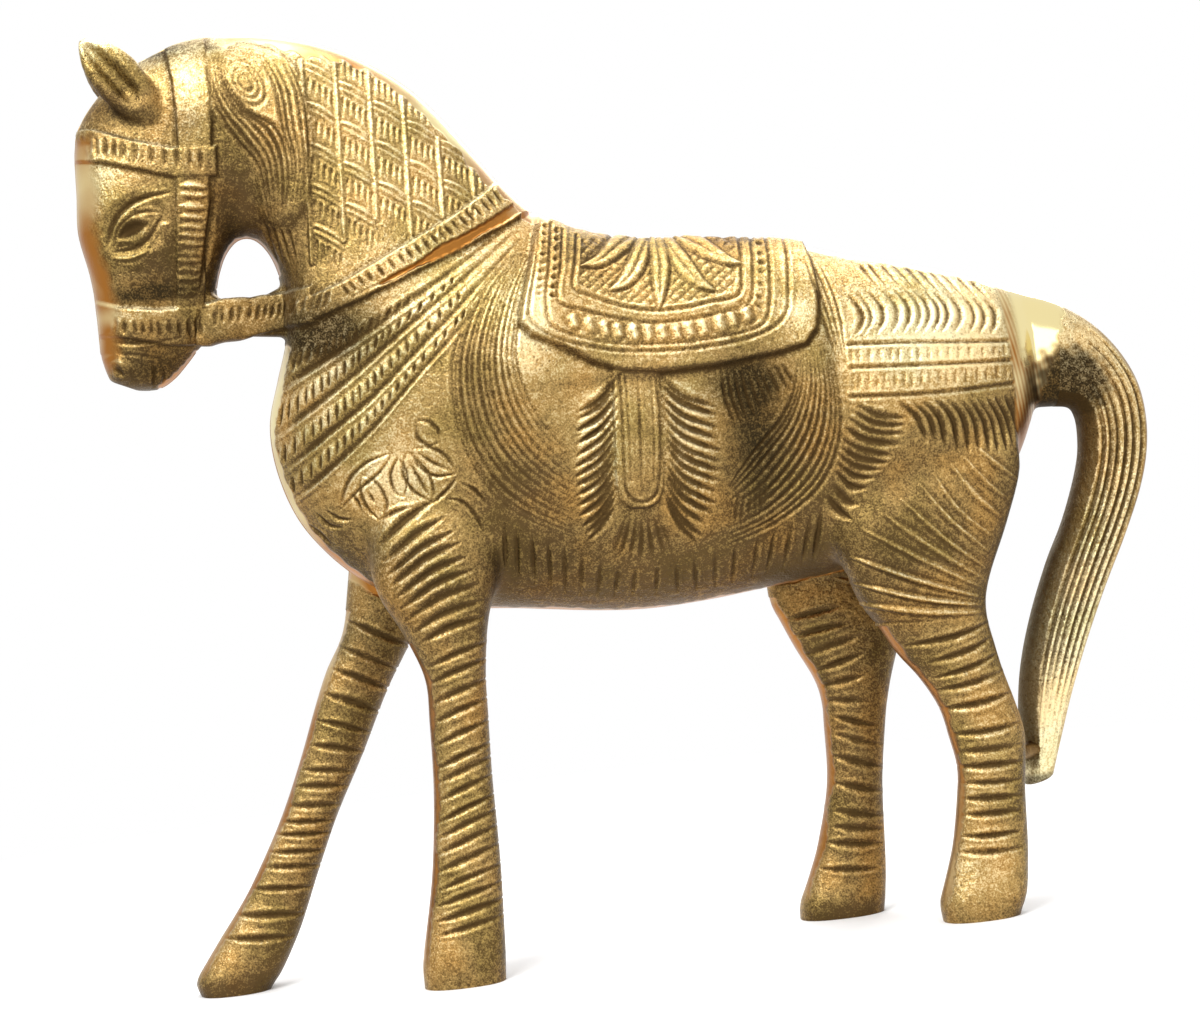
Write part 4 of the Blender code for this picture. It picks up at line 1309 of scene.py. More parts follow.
SADDLE_BORDERS = (
    ((-11.1, 187.6), (-12.7, 181.2), (-14.2, 175.4), (-9.9, 172.6), (-1.5, 169), (5.5, 167.4),
     (13.4, 167), (20.7, 167.8), (28.8, 169), (30.9, 175.7), (32.2, 183)),
    ((-14.8, 189.5), (-16.5, 181.6), (-18.6, 172.6), (-12.1, 169.3), (-1.8, 165.8), (6, 164.2),
     (15.8, 164.2), (23.9, 165.1), (31.3, 166.6), (34, 175.3), (35.5, 183)),
    ((-17.6, 191.5), (-19.6, 181.9), (-21.6, 174.2), (-21.6, 167.8), (-18.5, 164.8), (-6.8, 160.7),
     (6.3, 159), (17.9, 158.8), (30, 160), (35.5, 162.8), (38.2, 174.1), (39.5, 183)),
    ((-20.6, 193), (-23.2, 182.5), (-25.6, 174), (-26.2, 168.4), (-19.8, 163.2), (-7.1, 159),
     (6.1, 157.2), (18.6, 157), (31.6, 158.4), (40, 162.5), (42.7, 171.8), (44.2, 182)),
)


@dataclass
class Saddle(Dressing):
    """The saddle cloth with its borders, beads, hatched field and lotus."""

    reliefs: tuple[Raised, ...] = (
        Raised((
            (-18, 204), (-20.9, 192.8), (-24.8, 181.5), (-28, 173.3), (-29, 168.6),
            (-26.3, 165.3), (-19.1, 161.6), (-11.9, 157), (-4, 153.4), (6, 152),
            (20, 152.2), (37.3, 153.8), (44.8, 155.2), (48, 158.8), (50, 168),
            (49.8, 176), (48.2, 192),
        ), 2.6, 1.6),
    )
    cuts: tuple[Ornament, ...] = (
        *(Groove(border, 1.0, 0.36) for border in SADDLE_BORDERS),
        rungs(SADDLE_BORDERS[1][:3], SADDLE_BORDERS[2][:3], 8, 1.2, 0.45),
        rungs(SADDLE_BORDERS[2][:3], SADDLE_BORDERS[3][:3], 9, 0.9, 0.35),
        rungs(SADDLE_BORDERS[1][8:], SADDLE_BORDERS[2][9:], 8, 1.1, 0.4),
    )
    field_outline: Path = (
        (-10.1, 187), (-11.7, 181.2), (-13, 176), (-9.4, 173.6), (-1.2, 170),
        (5.5, 168.4), (13.4, 168), (20.5, 168.8), (27.9, 169.9), (29.9, 175.7), (31.2, 183),
    )
    hatch_pitch: float = 1.9
    bead_line: Path = (
        (-16.5, 167.4), (-8.5, 164.6), (-0.5, 162.5), (7.5, 161.6), (15.5, 161.5), (23.5, 162.5),
        (31.5, 164.3),
    )
    bead_count: int = 13
    lotus_base: Point = (10.6, 187.5)
    # For each petal, points on its way to the tip
    petals: tuple[Path, ...] = (
        ((1.7, 185), (-2.4, 182.9), (-6.4, 180.9), (-11.2, 180.4)),
        ((19.5, 183.2), (23.5, 180.4), (27.6, 177.6), (31.4, 176.2)),
        ((5.5, 181.5), (2.5, 177.6), (-0.6, 175), (-4.8, 173.6)),
        ((14.8, 180.1), (17, 176.1), (19.6, 172.6), (23, 170.4)),
        ((10.1, 179.3), (8.8, 172.6), (7.6, 167.6)),
    )
    petal_width: float = 5.0

    def engrave(self, graver: Graver) -> None:
        """Cut borders, hatching, beads and lotus.

        Args:
            graver: The graver at work.
        """
        graver.hatch(self.field_outline, self.hatch_pitch, 33.0, 0.26)
        graver.hatch(self.field_outline, self.hatch_pitch, -38.0, 0.26)
        super().engrave(graver)
        for petal in self.petals:
            graver.petal((self.lotus_base, *petal), self.petal_width, 0.34)
        low = tuple((x + 0.2, z - 0.9) for x, z in self.bead_line)
        high = tuple((x - 0.2, z + 0.9) for x, z in self.bead_line)
        graver.strokes(Strokes((high, low), self.bead_count, 2.0, 0.6, Taper.EVEN, True))


TONGUE_LEFT = ((-4.8, 152.5), (-5.3, 141.0), (-6.3, 126.0))
TONGUE_RIGHT = ((4.6, 151.5), (4.0, 137.5), (2.4, 124.0))


@dataclass
class Girth(Dressing):
    """The girth tongue with the feathers beside it and the soft strokes of the belly."""

    reliefs: tuple[Raised, ...] = (
        Raised((
            (-6.4, 156), (-7.6, 140), (-8.4, 126), (-8, 121.2), (-5.4, 118.4),
            (-1, 118), (2, 119.4), (3.4, 123), (4.4, 138), (5.6, 156),
        ), 0.9),
    )
    cuts: tuple[Ornament, ...] = (
        Groove((*TONGUE_LEFT, (-5.4, 121.4), (-2.8, 119.8), (0.2, 120.2), *TONGUE_RIGHT[::-1]),
               0.9, 0.4),
        Groove(((-3.4, 152), (-4, 138.5), (-4.8, 125.5)), 0.7, 0.3),
        Groove(((3.2, 151), (2.4, 137.5), (1, 124.5)), 0.7, 0.3),
        leaf(((-0.2, 152), (-1, 138), (-2.3, 122.5)), 1, 0.4),
        Strokes((
            ((-5.9, 152.6), (-6.9, 141.3), (-8.5, 129.8), (-8.9, 119.5)),
            ((-10.4, 147.9), (-11.7, 136.2), (-12.9, 123.9), (-12.9, 114.1)),
            ((-16.4, 145.5), (-18.3, 132.8), (-19.1, 120.8), (-16.7, 110.2)),
        ), 14, 1.8, 0.75),
        Strokes((
            ((6.1, 151.8), (5.3, 140.6), (4.8, 129.3), (3.8, 119)),
            ((10.8, 146.6), (10, 134.8), (8.8, 122.5), (6.4, 112.5)),
            ((19, 142.7), (19.1, 130.1), (17, 117.3), (10.8, 106.3)),
        ), 14, 1.8, 0.75),
        Strokes((
            ((-7, 116.5), (-2.7, 114.8), (2, 115.8)),
            ((-11.6, 107.4), (-3.4, 104.2), (5.4, 106.2)),
        ), 7, 1.5, 0.5),
        Strokes((
            ((-39, 118.5), (-26, 111.5), (-9, 103.5), (10, 103), (31, 108),
             (46, 113)),
            ((-39.5, 106.5), (-26, 98.5), (-10.5, 95.5), (10.5, 94.5), (28.5, 96.5),
             (43.5, 98.5)),
        ), 19, 1.15, 0.5),
    )


@dataclass
class Flank(Dressing):
    """Two families of arcs that meet in the hollow of the flank, and the strokes round it."""

    cuts: tuple[Ornament, ...] = (
        Strokes((
            ((50.5, 155.4), (46.5, 154), (42, 151.5)),
            ((51.8, 143.1), (46, 143.8), (39.9, 143.6)),
            ((50.6, 129.3), (43, 133.4), (35.7, 136.8)),
            ((44.4, 117.5), (37.4, 124.8), (30.7, 132.2)),
            ((32, 109.3), (29.4, 117.6), (26, 127.6)),
            ((18.9, 105.2), (20.5, 113.7), (21.5, 122.2)),
        ), 11, 1.1, 0.48),
        Strokes((
            ((21.1, 152.2), (27, 151.2), (32.2, 151), (38.6, 151.1)),
            ((21.7, 142.6), (27.8, 143.5), (34, 145.2), (40.3, 147.7)),
            ((24, 134.4), (29.9, 136.9), (35.5, 140.6), (41.7, 145.5)),
        ), 10, 1.1, 0.5),
        Strokes((
            ((47.5, 176), (50, 176), (53, 175.5)),
            ((49.5, 164), (52, 164), (55, 164)),
            ((52.5, 148), (53.5, 148), (54.5, 148)),
        ), 4, 1, 0.4),
        Strokes((
            ((23, 119.5), (27.5, 119), (31, 122)),
            ((21, 110.5), (26, 112), (31, 114.5)),
        ), 6, 1, 0.35),
    )


CROUP_LINES = (
    ((55.5, 154), (69.5, 153), (85, 151.5), (101.5, 150)),
    ((55.5, 148), (69, 147), (84.5, 146), (101, 145)),
    ((54.5, 140.5), (68, 139.5), (83, 139), (101, 139)),
)


@dataclass
class Quarter(Dressing):
    """Crescents, tick rows, feathers and rays of the croup and the thigh."""

    cuts: tuple[Ornament, ...] = (
        Strokes((
            ((62.5, 174.5), (72.5, 173.5), (83, 171), (94.5, 166.5)),
            ((65.5, 168), (76, 166.5), (87, 163.5), (98.5, 160.5)),
        ), 10, 1.6, 0.46, Taper.WEDGE),
        Strokes((
            ((57, 166.5), (70.5, 166.5), (82.5, 164.5), (96.5, 161)),
            ((59.2, 163.2), (72.7, 163), (84.6, 161.3), (98.2, 158.5)),
            ((59.4, 159.8), (72.6, 159.4), (84.5, 157.9), (98, 155.5)),
            ((57, 156.5), (70, 155.5), (82, 154.5), (96, 152.5)),
        ), 13, 1.6, 0.46),
        *(Groove(line, 1.1, 0.42) for line in CROUP_LINES),
        rungs(CROUP_LINES[0], CROUP_LINES[1], 17, 1.2, 0.27),
        rungs(CROUP_LINES[1], CROUP_LINES[2], 19, 1.1, 0.25),
        Strokes((
            ((56.5, 138.5), (53.5, 135.5), (51.5, 130.5), (50, 125.5), (49, 120.5),
             (46, 114.5)),
            ((62, 135.5), (59, 131.5), (56, 127), (54, 122), (52, 116.5),
             (48.5, 110)),
            ((68, 134.5), (67, 130), (64, 124.5), (60, 120.5), (55.5, 115.5),
             (51, 107.5)),
        ), 11, 2, 0.7),
        Strokes((
            ((66, 137.5), (78.5, 137), (90, 136), (99, 136)),
            ((70.5, 133.5), (82.5, 131.5), (93.5, 129.5), (101, 131.5)),
            ((72.5, 127), (83, 123), (94, 121.5), (102.5, 126)),
        ), 12, 1.8, 0.65),
        Strokes((
            ((52.6, 78.6), (52.2, 83.6), (51.6, 89.9), (50.3, 98), (53.7, 105.2), (59.6, 109.5),
             (65.3, 113.4), (70, 117), (75.5, 118.9), (80.1, 120.5), (84.5, 122),
             (88, 124.5)),
            ((66.1, 77.9), (67.5, 80.9), (67.6, 84.9), (66.6, 90.4), (68.9, 95.5), (72, 98.7),
             (75.1, 101.9), (77.6, 105.7), (81, 108.5), (85.5, 112.2), (89.3, 115.5),
             (93.6, 119.4)),
            ((79.7, 76.7), (83.2, 79.4), (84.3, 81.8), (84.7, 83.9), (84.9, 86.3), (85.1, 89),
             (85.9, 92.4), (87.1, 96.4), (89.3, 101), (92.2, 105.3), (95.1, 110.4),
             (98.4, 115.3)),
        ), 12, 1.3, 0.7, raised=True),
    )


@dataclass
class Foreleg(Dressing):
    """The strokes that carry on from the leg over its root."""

    cuts: tuple[Ornament, ...] = (
        Strokes((
            ((-70.5, 118), (-70, 111), (-68.5, 105), (-67, 99.5), (-65, 94),
             (-62.5, 88.5)),
            ((-63, 124), (-61, 117), (-59.5, 111), (-57.5, 105), (-56.5, 98.5),
             (-55.5, 91.5)),
            ((-56, 127.5), (-53, 120.5), (-50, 114), (-47.5, 107.5), (-46, 100.5),
             (-46.5, 93)),
        ), 9, 1.9, 0.65),
    )


def paint(piece: Piece, patina: np.ndarray, ground: np.ndarray, soot: np.ndarray,
          polish_and_highlight: np.ndarray, light_and_tone: np.ndarray) -> None:
    """Store the wearing and the painted light and shade of each corner of a piece.

    Args:
        piece: The piece.
        patina: The darkness of the cuts, and the painted shadow below raised edges, 0 to 1.
        ground: Ground and brushed metal.
        soot: Painted shade in hollows, creases, under ledges and in gaps between parts.
        polish_and_highlight: Buffed metal, placed where a painted highlight falls.
        light_and_tone: Painted light and shade, from deep brown brass to pale brass.
    """
    attribute = piece.data.attributes.new(WEAR_AND_SHADE, "FLOAT_COLOR", "POINT")
    values = np.clip(np.stack([patina, ground, soot, polish_and_highlight], axis=1), 0, 1)
    attribute.data.foreach_set("color", values.astype(np.float32).ravel())
    attribute = piece.data.attributes.new(LIGHT_AND_TONE, "FLOAT", "POINT")
    attribute.data.foreach_set("value", np.clip(light_and_tone, 0, 1).astype(np.float32))


def painted_light_tone(plain: np.ndarray, worked: np.ndarray) -> np.ndarray:
    """Painted light and shade on brass by the way that it faces.

    Args:
        plain: Outward directions before the surface was worked.
        worked: Outward directions after it.

    Returns:
        A lightness for each corner, about 0.4 on an upright flank.
    """
    # painted light and shade: paler towards the light, darker away from it, with the worked
    # surface's own turn added
    return 0.4 + 0.42 * (plain @ PAINTED_LIGHT_WAY) + 0.6 * ((worked - plain) @ PAINTED_LIGHT_WAY)


@dataclass(frozen=True)
class Patch:
    """A soft patch of painted shade, or of paler or darker painted light, that fades out from its
    middle.
    """

    x: float
    z: float
    reach_x: float
    reach_z: float
    strength: float    # painted shade, or paler light, at its middle; darker if it is below zero

    def at(self, x: np.ndarray, z: np.ndarray) -> np.ndarray:
        """Strength of the patch at (x, z)."""
        distance = ((x - self.x) / self.reach_x) ** 2 + ((z - self.z) / self.reach_z) ** 2
        return self.strength * np.exp(-distance)


@dataclass(frozen=True)
class SeamBraze:
    """The braze in one stretch of the seam, ground flush with the castings."""

    name: str
    line: str    # outline of the trunk that it follows, "top" or "low"
    first: float    # station where it starts
    last: float    # station where it ends
    band: float    # how far down the flank the grinder reached beside it
    unevenness: float    # how much that band wanders
    soft: float = 0.35    # half the width over which the band fades out
    half_width: float = 1.5
    depth: float = 0.5    # depth of the groove that the braze fills
    proud: float = 0.07    # how far the braze stands above the castings
    reach: float = 8.0    # how far from the outline the surface is searched for
    corners: int = 20

    def points(self, trunk: Trunk, spacing: float) -> tuple[np.ndarray, np.ndarray]:
        """Points along the seam and the outward directions there, in (x, z).

        Args:
            trunk: The trunk.
            spacing: From point to point.

        Returns:
            The points and the directions.
        """
        dense = trunk.outline(self.line, np.linspace(self.first, self.last, 400))
        length = np.concatenate([[0], np.cumsum(np.linalg.norm(np.diff(dense, axis=0), axis=1))])
        wanted = np.linspace(0.6, length[-1] - 0.6, max(int(length[-1] / spacing), 4))
        path = np.stack([np.interp(wanted, length, dense[:, k]) for k in range(2)], axis=1)
        way = np.gradient(path, axis=0)
        way /= np.linalg.norm(way, axis=1)[:, None]
        out = np.stack([way[:, 1], -way[:, 0]], axis=1)
        return path, out if self.line == "top" else -out

    def heights(self, surface: BVHTree, path: np.ndarray, out: np.ndarray) -> np.ndarray:
        """Height of the engraved surface above the seam's path, evened out along it.

        Args:
            surface: The engraved surface.
            path: Points of the seam.
            out: The outward directions.

        Returns:
            The heights.
        """
        found = []
        for point, way in zip(path, out):
            high = point + way * self.reach
            start = Vector((high[0], 0, high[1])) * MM
            hit = surface.ray_cast(start, Vector((-way[0], 0, -way[1])), 2 * self.reach * MM)
            found.append(self.reach - hit[3] / MM if hit[0] else 0.0)
        return np.convolve(np.pad(found, 2, "edge"), np.full(5, 0.2), "valid")

    def build(self, trunk: Trunk, surface: BVHTree) -> Piece:
        """Sweep the braze along the engraved surface.

        Args:
            trunk: The trunk whose outline it follows.
            surface: The engraved form.

        Returns:
            The piece.
        """
        path, out = self.points(trunk, 0.8)
        bed = self.heights(surface, path, out)
        c, s = circle(self.corners)
        count = len(path)
        place = np.arange(count)
        ends = np.clip(np.minimum(place, count - 1 - place) / 2.0, 0.15, 1.0) ** 0.5
        across = self.half_width * full(c, 0.5) * ends[:, None]
        bar = self.depth / 2 * (full(s, 0.6) - 1) * ends[:, None]
        lift = bed[:, None] + self.proud + bar
        x = path[:, 0:1] + out[:, 0:1] * lift
        z = path[:, 1:2] + out[:, 1:2] * lift
        piece = rolled_tube(self.name, np.stack([x, across, z], axis=2))
        corners = places_of(piece)
        dapple = 0.25 * np.sin(corners[:, 0] * 0.9 + corners[:, 2] * 0.7)
        blank = np.zeros(len(corners))
        facing = normals_of(piece)
        # painted light and shade on the braze, by the way each face turns
        paint(piece, blank, 0.75 + dapple, blank, blank, painted_light_tone(facing, facing))
        bpy.ops.object.shade_smooth_by_angle(angle=math.radians(50))
        return piece


SEAM = (
    SeamBraze("back_seam_braze", "top", 0.35, 10, 1.2, 0.5),
    SeamBraze("crest_seam_braze", "top", 10, 22, 3.5, 1.6),
    SeamBraze("face_seam_braze", "top", 22, 31, 5, 1, soft=2),
    SeamBraze("belly_seam_braze", "low", 0.5, 12, 0.8, 0.4),
    SeamBraze("chest_seam_braze", "low", 12, 17.7, 1.4, 0.6),
    SeamBraze("throat_seam_braze", "low", 19.4, 24.8, 0.6, 0.3),
    SeamBraze("jaw_seam_braze", "low", 28, 31, 1, 0.5),
)


FORE_JOINT = 92.0       # height of the brazed joints of the forelegs
HIND_JOINT = 88.0       # and of the hind legs


@dataclass
class HorseForm:
    """The whole horse as one engraved form, which is then parted into its castings."""

    trunk: Trunk = field(default_factory=Trunk)
    tail: Tail = field(default_factory=Tail)
    rein: Rein = field(default_factory=Rein)
    voxel: float = 0.8    # size of the remeshed faces, halved by a subdivision
    root_low: float = 84.0    # the roots of the legs are blended into the flank from this height
    root_high: float = 138.0    # they are blended up to this height
    seam_gap: float = 0.3
    joint_half: float = 0.95    # half the height of a leg's ring of braze
    cut_fore: float = -30.0
    cut_hind: float = 30.0
    poll_cut: Point = (-84.0, 173.4)    # a point of the cut between neck and breast, in (x, z)
    poll_way: Point = (-24.0, 65.4)    # the way that this cut faces
    harness_from: float = 84.0    # the harness is raised above this height
    coat_from: float = 74.0    # the coat is cut above this height
    ground_off: float = 0.22    # what the grinder took off, in millimetres
    low_shade: float = 0.15
    # The edge of the neck strap that is rubbed to bare brass, and painted darker as the shade below
    # the strap
    worn_and_shaded_strap: Path = (
        (-24.5, 198.2), (-34.5, 193.6), (-47, 188.6), (-59, 183.8), (-70, 180),
    )
    # Patches of painted shade in hollows, creases and below ledges: the flank's hollow, under
    # saddle, rein and jaw, round eye, ear and muzzle, between the legs, top of the head
    painted_shade_patches: tuple[Patch, ...] = (
        Patch(30.5, 128, 11, 20, 0.8), Patch(-107, 229, 9, 5, 0.5),
        Patch(-78, 171.5, 15, 8.5, 1.3), Patch(-95, 188, 8, 6, 1.2),
        Patch(-124.2, 203, 3.4, 2.4, 0.9), Patch(-123, 168, 10, 6, 0.75),
        Patch(-72, 113, 12, 7, 0.5), Patch(-58, 104, 9, 9, 0.3),
        Patch(27.5, 147.5, 10, 6, 0.95), Patch(-103, 248, 17, 4, 0.7),
        Patch(-60, 240, 12, 3, 0.35), Patch(50, 150, 2.5, 16, 0.6),
        Patch(60, 96, 8, 7, 0.35), Patch(-122, 186.8, 11, 2.4, 1.2),
        Patch(-99, 200, 3.5, 12, 0.7), Patch(-28, 108, 22, 7, 0.35),
        Patch(-127, 233.5, 8, 5, 0.55), Patch(-104, 176, 10, 3, 0.4),
        Patch(-119, 191, 10, 6, 0.4), Patch(-113, 249, 6, 3, 0.5),
        Patch(29, 137, 6, 13, 0.3), Patch(-76, 90, 7, 10, 0.55),
    )
    # Patches of painted light and shade, paler or darker than the rest
    light_and_shade_patches: tuple[Patch, ...] = (
        Patch(-57, 214, 18, 18, 0.08), Patch(-81, 196, 9, 16, -0.14),
        Patch(-117, 194, 13, 11, -0.32), Patch(-125, 170, 12, 9, -0.2),
        Patch(-131, 217, 6, 6, 0.3), Patch(-97, 207, 7, 14, -0.36),
        Patch(-127, 236, 12, 7, -0.36), Patch(-105.5, 236, 4, 13, 0.2),
        Patch(-47, 182, 20, 9, 0.2), Patch(-29, 166, 9, 15, 0.28),
        Patch(-41, 160, 6, 14, -0.12), Patch(-70, 156, 20, 16, 0.16),
        Patch(35, 124, 12, 24, -0.15), Patch(80, 154, 24, 13, 0.46),
        Patch(-65, 132, 14, 9, 0.42), Patch(60, 96, 16, 14, -0.06),
        Patch(32, 183, 11, 4, -0.25), Patch(16, 186, 50, 7, -0.45),
        Patch(-11, 133, 8, 16, 0.28), Patch(-24, 172, 3, 9, 0.2),
        Patch(44, 163, 5, 4, 0.25), Patch(1, 152, 26, 2, -0.3),
        Patch(-123, 243, 5, 8, 0.14), Patch(35, 122, 9, 16, 0.1),
        Patch(-129.5, 251, 4, 4, 0.4), Patch(66, 172, 20, 6, -0.1),
        Patch(50, 50, 16, 40, -0.12), Patch(78, 12, 16, 10, 0.2),
        Patch(-119, 1, 14, 4, -0.4), Patch(46, 0, 14, 4, -0.3),
        Patch(-31, 127, 12, 10, -0.14), Patch(-62, 112, 12, 10, 0.1),
        Patch(81, 52, 16, 34, 0.12), Patch(-58, 45, 16, 36, 0.09),
        Patch(11, 133, 7, 16, 0.38), Patch(-124, 181.8, 14, 2.2, 0.3),
        Patch(-48, 189, 22, 4, 0.12), Patch(0, 178, 26, 9, -0.06),
    )
    # The same for ground brass: painted light and shade, paler on the breast and belly, darker
    # along the neck strap's lower edge
    ground_light_and_shade_patches: tuple[Patch, ...] = (
        Patch(-92, 128, 16, 45, 0.5), Patch(0, 92, 75, 8, 0.45),
        Patch(-60, 238, 50, 22, -0.15), Patch(-100, 45, 50, 45, -0.1),
        Patch(-138, 200, 9, 30, 0.1), Patch(-45, 190, 24, 9, -0.6),
        Patch(16, 187, 40, 7, 0.06), Patch(-42, 222, 18, 14, 0.4),
    )

    def cast(self) -> Piece:
        """Join the plain forms into one skin of even small faces.

        Returns:
            The form.
        """
        parts = [self.trunk.build(), self.tail.collar_form(), self.rein.build()]
        parts += [Ear(side).build() for side in SIDES.values()]
        parts += [leg.build() for leg in LEGS]
        form = joined("horse_form", parts)
        size = self.voxel * 1.0
        apply_modifier(form, "REMESH", mode="VOXEL", voxel_size=size * MM, use_smooth_shade=True)
        apply_modifier(form, "SMOOTH", factor=0.5, iterations=3)
        self.blend_roots(form, iterations=int(90 * (self.voxel / size) ** 2))
        apply_modifier(form, "SUBSURF", levels=1, render_levels=1)
        return form

    def blend_roots(self, form: Piece, iterations: int) -> None:
        """Soften the creases where the legs run into the flank.

        Args:
            form: The form.
            iterations: Rounds of smoothing.
        """
        places = places_of(form)
        x, y, z = places.T
        weight = smoothstep(self.root_low, self.root_low + 12, z)
        weight *= smoothstep(self.root_high, self.root_high - 14, z)
        near = np.zeros(len(places))
        for leg in LEGS:
            front, rear = leg.edges(z)
            reach = smoothstep(14.0, 5.0, np.maximum(front - x, x - rear))
            near = np.maximum(near, reach * (y * leg.side > -3))
        group = form.vertex_groups.new(name="roots")
        shares = weight * near
        for level in range(1, 11):
            chosen = np.flatnonzero(np.ceil(shares * 10).astype(int) == level)
            group.add(chosen.tolist(), level / 10, "REPLACE")
        apply_modifier(form, "SMOOTH", factor=0.5, iterations=iterations, vertex_group="roots")
        form.vertex_groups.clear()

    def seam_distance(self, seam: SeamBraze, places: np.ndarray) -> np.ndarray:
        """Distance in side view of the corners from a stretch of the seam.

        Args:
            seam: The stretch.
            places: The corners.

        Returns:
            The distances, 99 for those out of reach.
        """
        path, _ = seam.points(self.trunk, 2.5)
        near = seam.band + seam.unevenness + 2.5
        low, high = path.min(0) - near, path.max(0) + near
        flat = places[:, [0, 2]]
        chosen = np.flatnonzero(((flat > low) & (flat < high)).all(1) & (np.abs(places[:, 1]) < 19))
        gap = np.full(len(places), 99.0)
        for part in np.array_split(chosen, max(len(chosen) // 20000, 1)):
            gap[part], _ = line_distance(flat[part], path)
        return gap

    def ground_zone(self, places: np.ndarray) -> np.ndarray:
        """Where the castings are smooth: beside the seam, on the neck strap, down the shins.

        Args:
            places: The corners.

        Returns:
            How smooth each is, from 0 to 1.
        """
        x, y, z = places.T
        wander = np.sin(x * 0.31 + z * 0.23) + 0.6 * np.sin(x * 0.83 - z * 0.57 + 1.3)
        wander += 0.4 * np.sin(x * 1.9 + z * 1.7 + 0.4)
        zone = np.zeros(len(places))
        for seam in SEAM:
            width = seam.band + seam.unevenness * wander / 2
            gap = self.seam_distance(seam, places)
            zone = np.maximum(zone, smoothstep(width + seam.soft, width - seam.soft, gap))

        # The top of the head is left as it was cast
        zone *= 1 - smoothstep(226.0, 230.0, z) * smoothstep(-94.0, -99.0, x)

        # The edge of the neck strap and the fronts of the shins are rubbed smooth too
        near = np.flatnonzero((x > -84.0) & (x < -18.0) & (z > 174.0) & (z < 208.0))
        gap, _ = line_distance(places[near][:, [0, 2]], np.asarray(self.worn_and_shaded_strap))
        gap += 0.2 * wander[near] + 1.3 * smoothstep(-42.0, -70.0, x[near])
        zone[near] = np.maximum(zone[near], 0.9 * smoothstep(1.6, 0.9, gap))
        for leg in LEGS:
            front, _ = leg.edges(z)
            strip = smoothstep(1.6, 0.8, x - front + 0.3 * wander) * leg.holds(places)
            zone = np.maximum(zone, 0.8 * strip * smoothstep(4.0, 9.0, z))
        return zone

    def carve(self, places: np.ndarray) -> tuple[np.ndarray, np.ndarray, np.ndarray]:
        """Raise the harness and cut the coat and the legs.

        Args:
            places: The corners of the plain form.

        Returns:
            Height of the relief, height of the cuts, and the darkness of the cuts with the painted
            shadow below raised edges, for each corner.
        """
        x, _, z = places.T
        count = len(places)
        on_leg = np.any([leg.holds(places) for leg in LEGS], axis=0)
        relief = Graver(x, z, ~on_leg & (z > self.harness_from), seed=3)
        coat = Graver(x, z, ~on_leg & (z > self.coat_from), seed=5)
        harness = (Bridle(), Face(), Mane(), Saddle(), Girth())
        for part in harness:
            part.shape(relief)
        for part in (*harness, NeckLattice(), Breast(), Shoulder(), Flank(), Quarter(), Foreleg()):
            part.engrave(coat)
        raised, foot = relief.result(count)
        height, patina = coat.result(count)
        # the painted shadow below raised relief joins the darkness of the cuts
        patina = np.maximum(patina, foot)
        for number, leg in enumerate(LEGS):
            graver = Graver(x, z, leg.holds(places), seed=11 + number)
            graver.strokes(leg.strokes)
            cut, stain = graver.result(count)
            height += cut
            patina = np.maximum(patina, stain)
        return raised, height, patina

    def engrave(self, form: Piece) -> BVHTree:
        """Raise the harness, cut the coat, and paint the form's wearing with its painted light and
        shade.

        Args:
            form: The plain form, which is changed.

        Returns:
            The engraved surface, before the groove of the seam is cut.
        """
        base, out = places_of(form), normals_of(form)
        x, y, z = base.T
        raised, height, patina = self.carve(base)
        ground = self.ground_zone(base)
        zone, polish_and_highlight, collar_shade = collar_wear_and_light(x, z)
        plain = np.maximum(ground, zone)
        clear_of_seam = 0.3 + 0.7 * smoothstep(2.0, 9.0, np.abs(y))
        height = height * (1 - plain) - self.ground_off * ground * (1 - zone)
        move_to(form, base + out * (raised * clear_of_seam * (1 - 0.5 * plain) + height)[:, None])
        surface = self.surface_of(form)
        # Painted shade in hollows, creases and under ledges, and in the crease below the collar
        soot = np.clip(sum(patch.at(x, z) for patch in self.painted_shade_patches), 0, 1) * (1 - ground)
        soot = np.maximum(soot, collar_shade)
        # Painted light and shade: by the way each face turns, raised parts paler and cuts darker,
        # paler and darker patches, and darker towards the bottom
        light_and_tone = painted_light_tone(out, normals_of(form)) + 0.45 * height
        light_and_tone += sum(patch.at(x, z) for patch in self.light_and_shade_patches) + brushed(base, zone)
        light_and_tone -= self.low_shade * smoothstep(152.0, 112.0, z)
        # ground brass gets its own patches of painted light and shade
        light_and_tone += ground * sum(patch.at(x, z) for patch in self.ground_light_and_shade_patches)
        self.sink_seam(form, base, out)
        ground = plain * (1 - polish_and_highlight)
        paint(form, patina * (1 - plain), ground, soot, polish_and_highlight, light_and_tone)
        return surface

    def surface_of(self, form: Piece) -> BVHTree:
        """The form's surface for ray casts."""
        return BVHTree.FromObject(form, bpy.context.evaluated_depsgraph_get())

    def sink_seam(self, form: Piece, base: np.ndarray, out: np.ndarray) -> None:
        """Sink the shallow groove that the seam's braze fills.

        Args:
            form: The form.
            base: Its corners before the engraving.
            out: The outward directions.
        """
        places = places_of(form)
        sunk = np.zeros(len(places))
        for seam in SEAM:
            near = self.seam_distance(seam, base) < 3.0
            across = smoothstep(seam.half_width + 0.35, seam.half_width, np.abs(base[:, 1]))
            sunk = np.maximum(sunk, seam.depth * near * across)
        move_to(form, places - out * sunk[:, None])

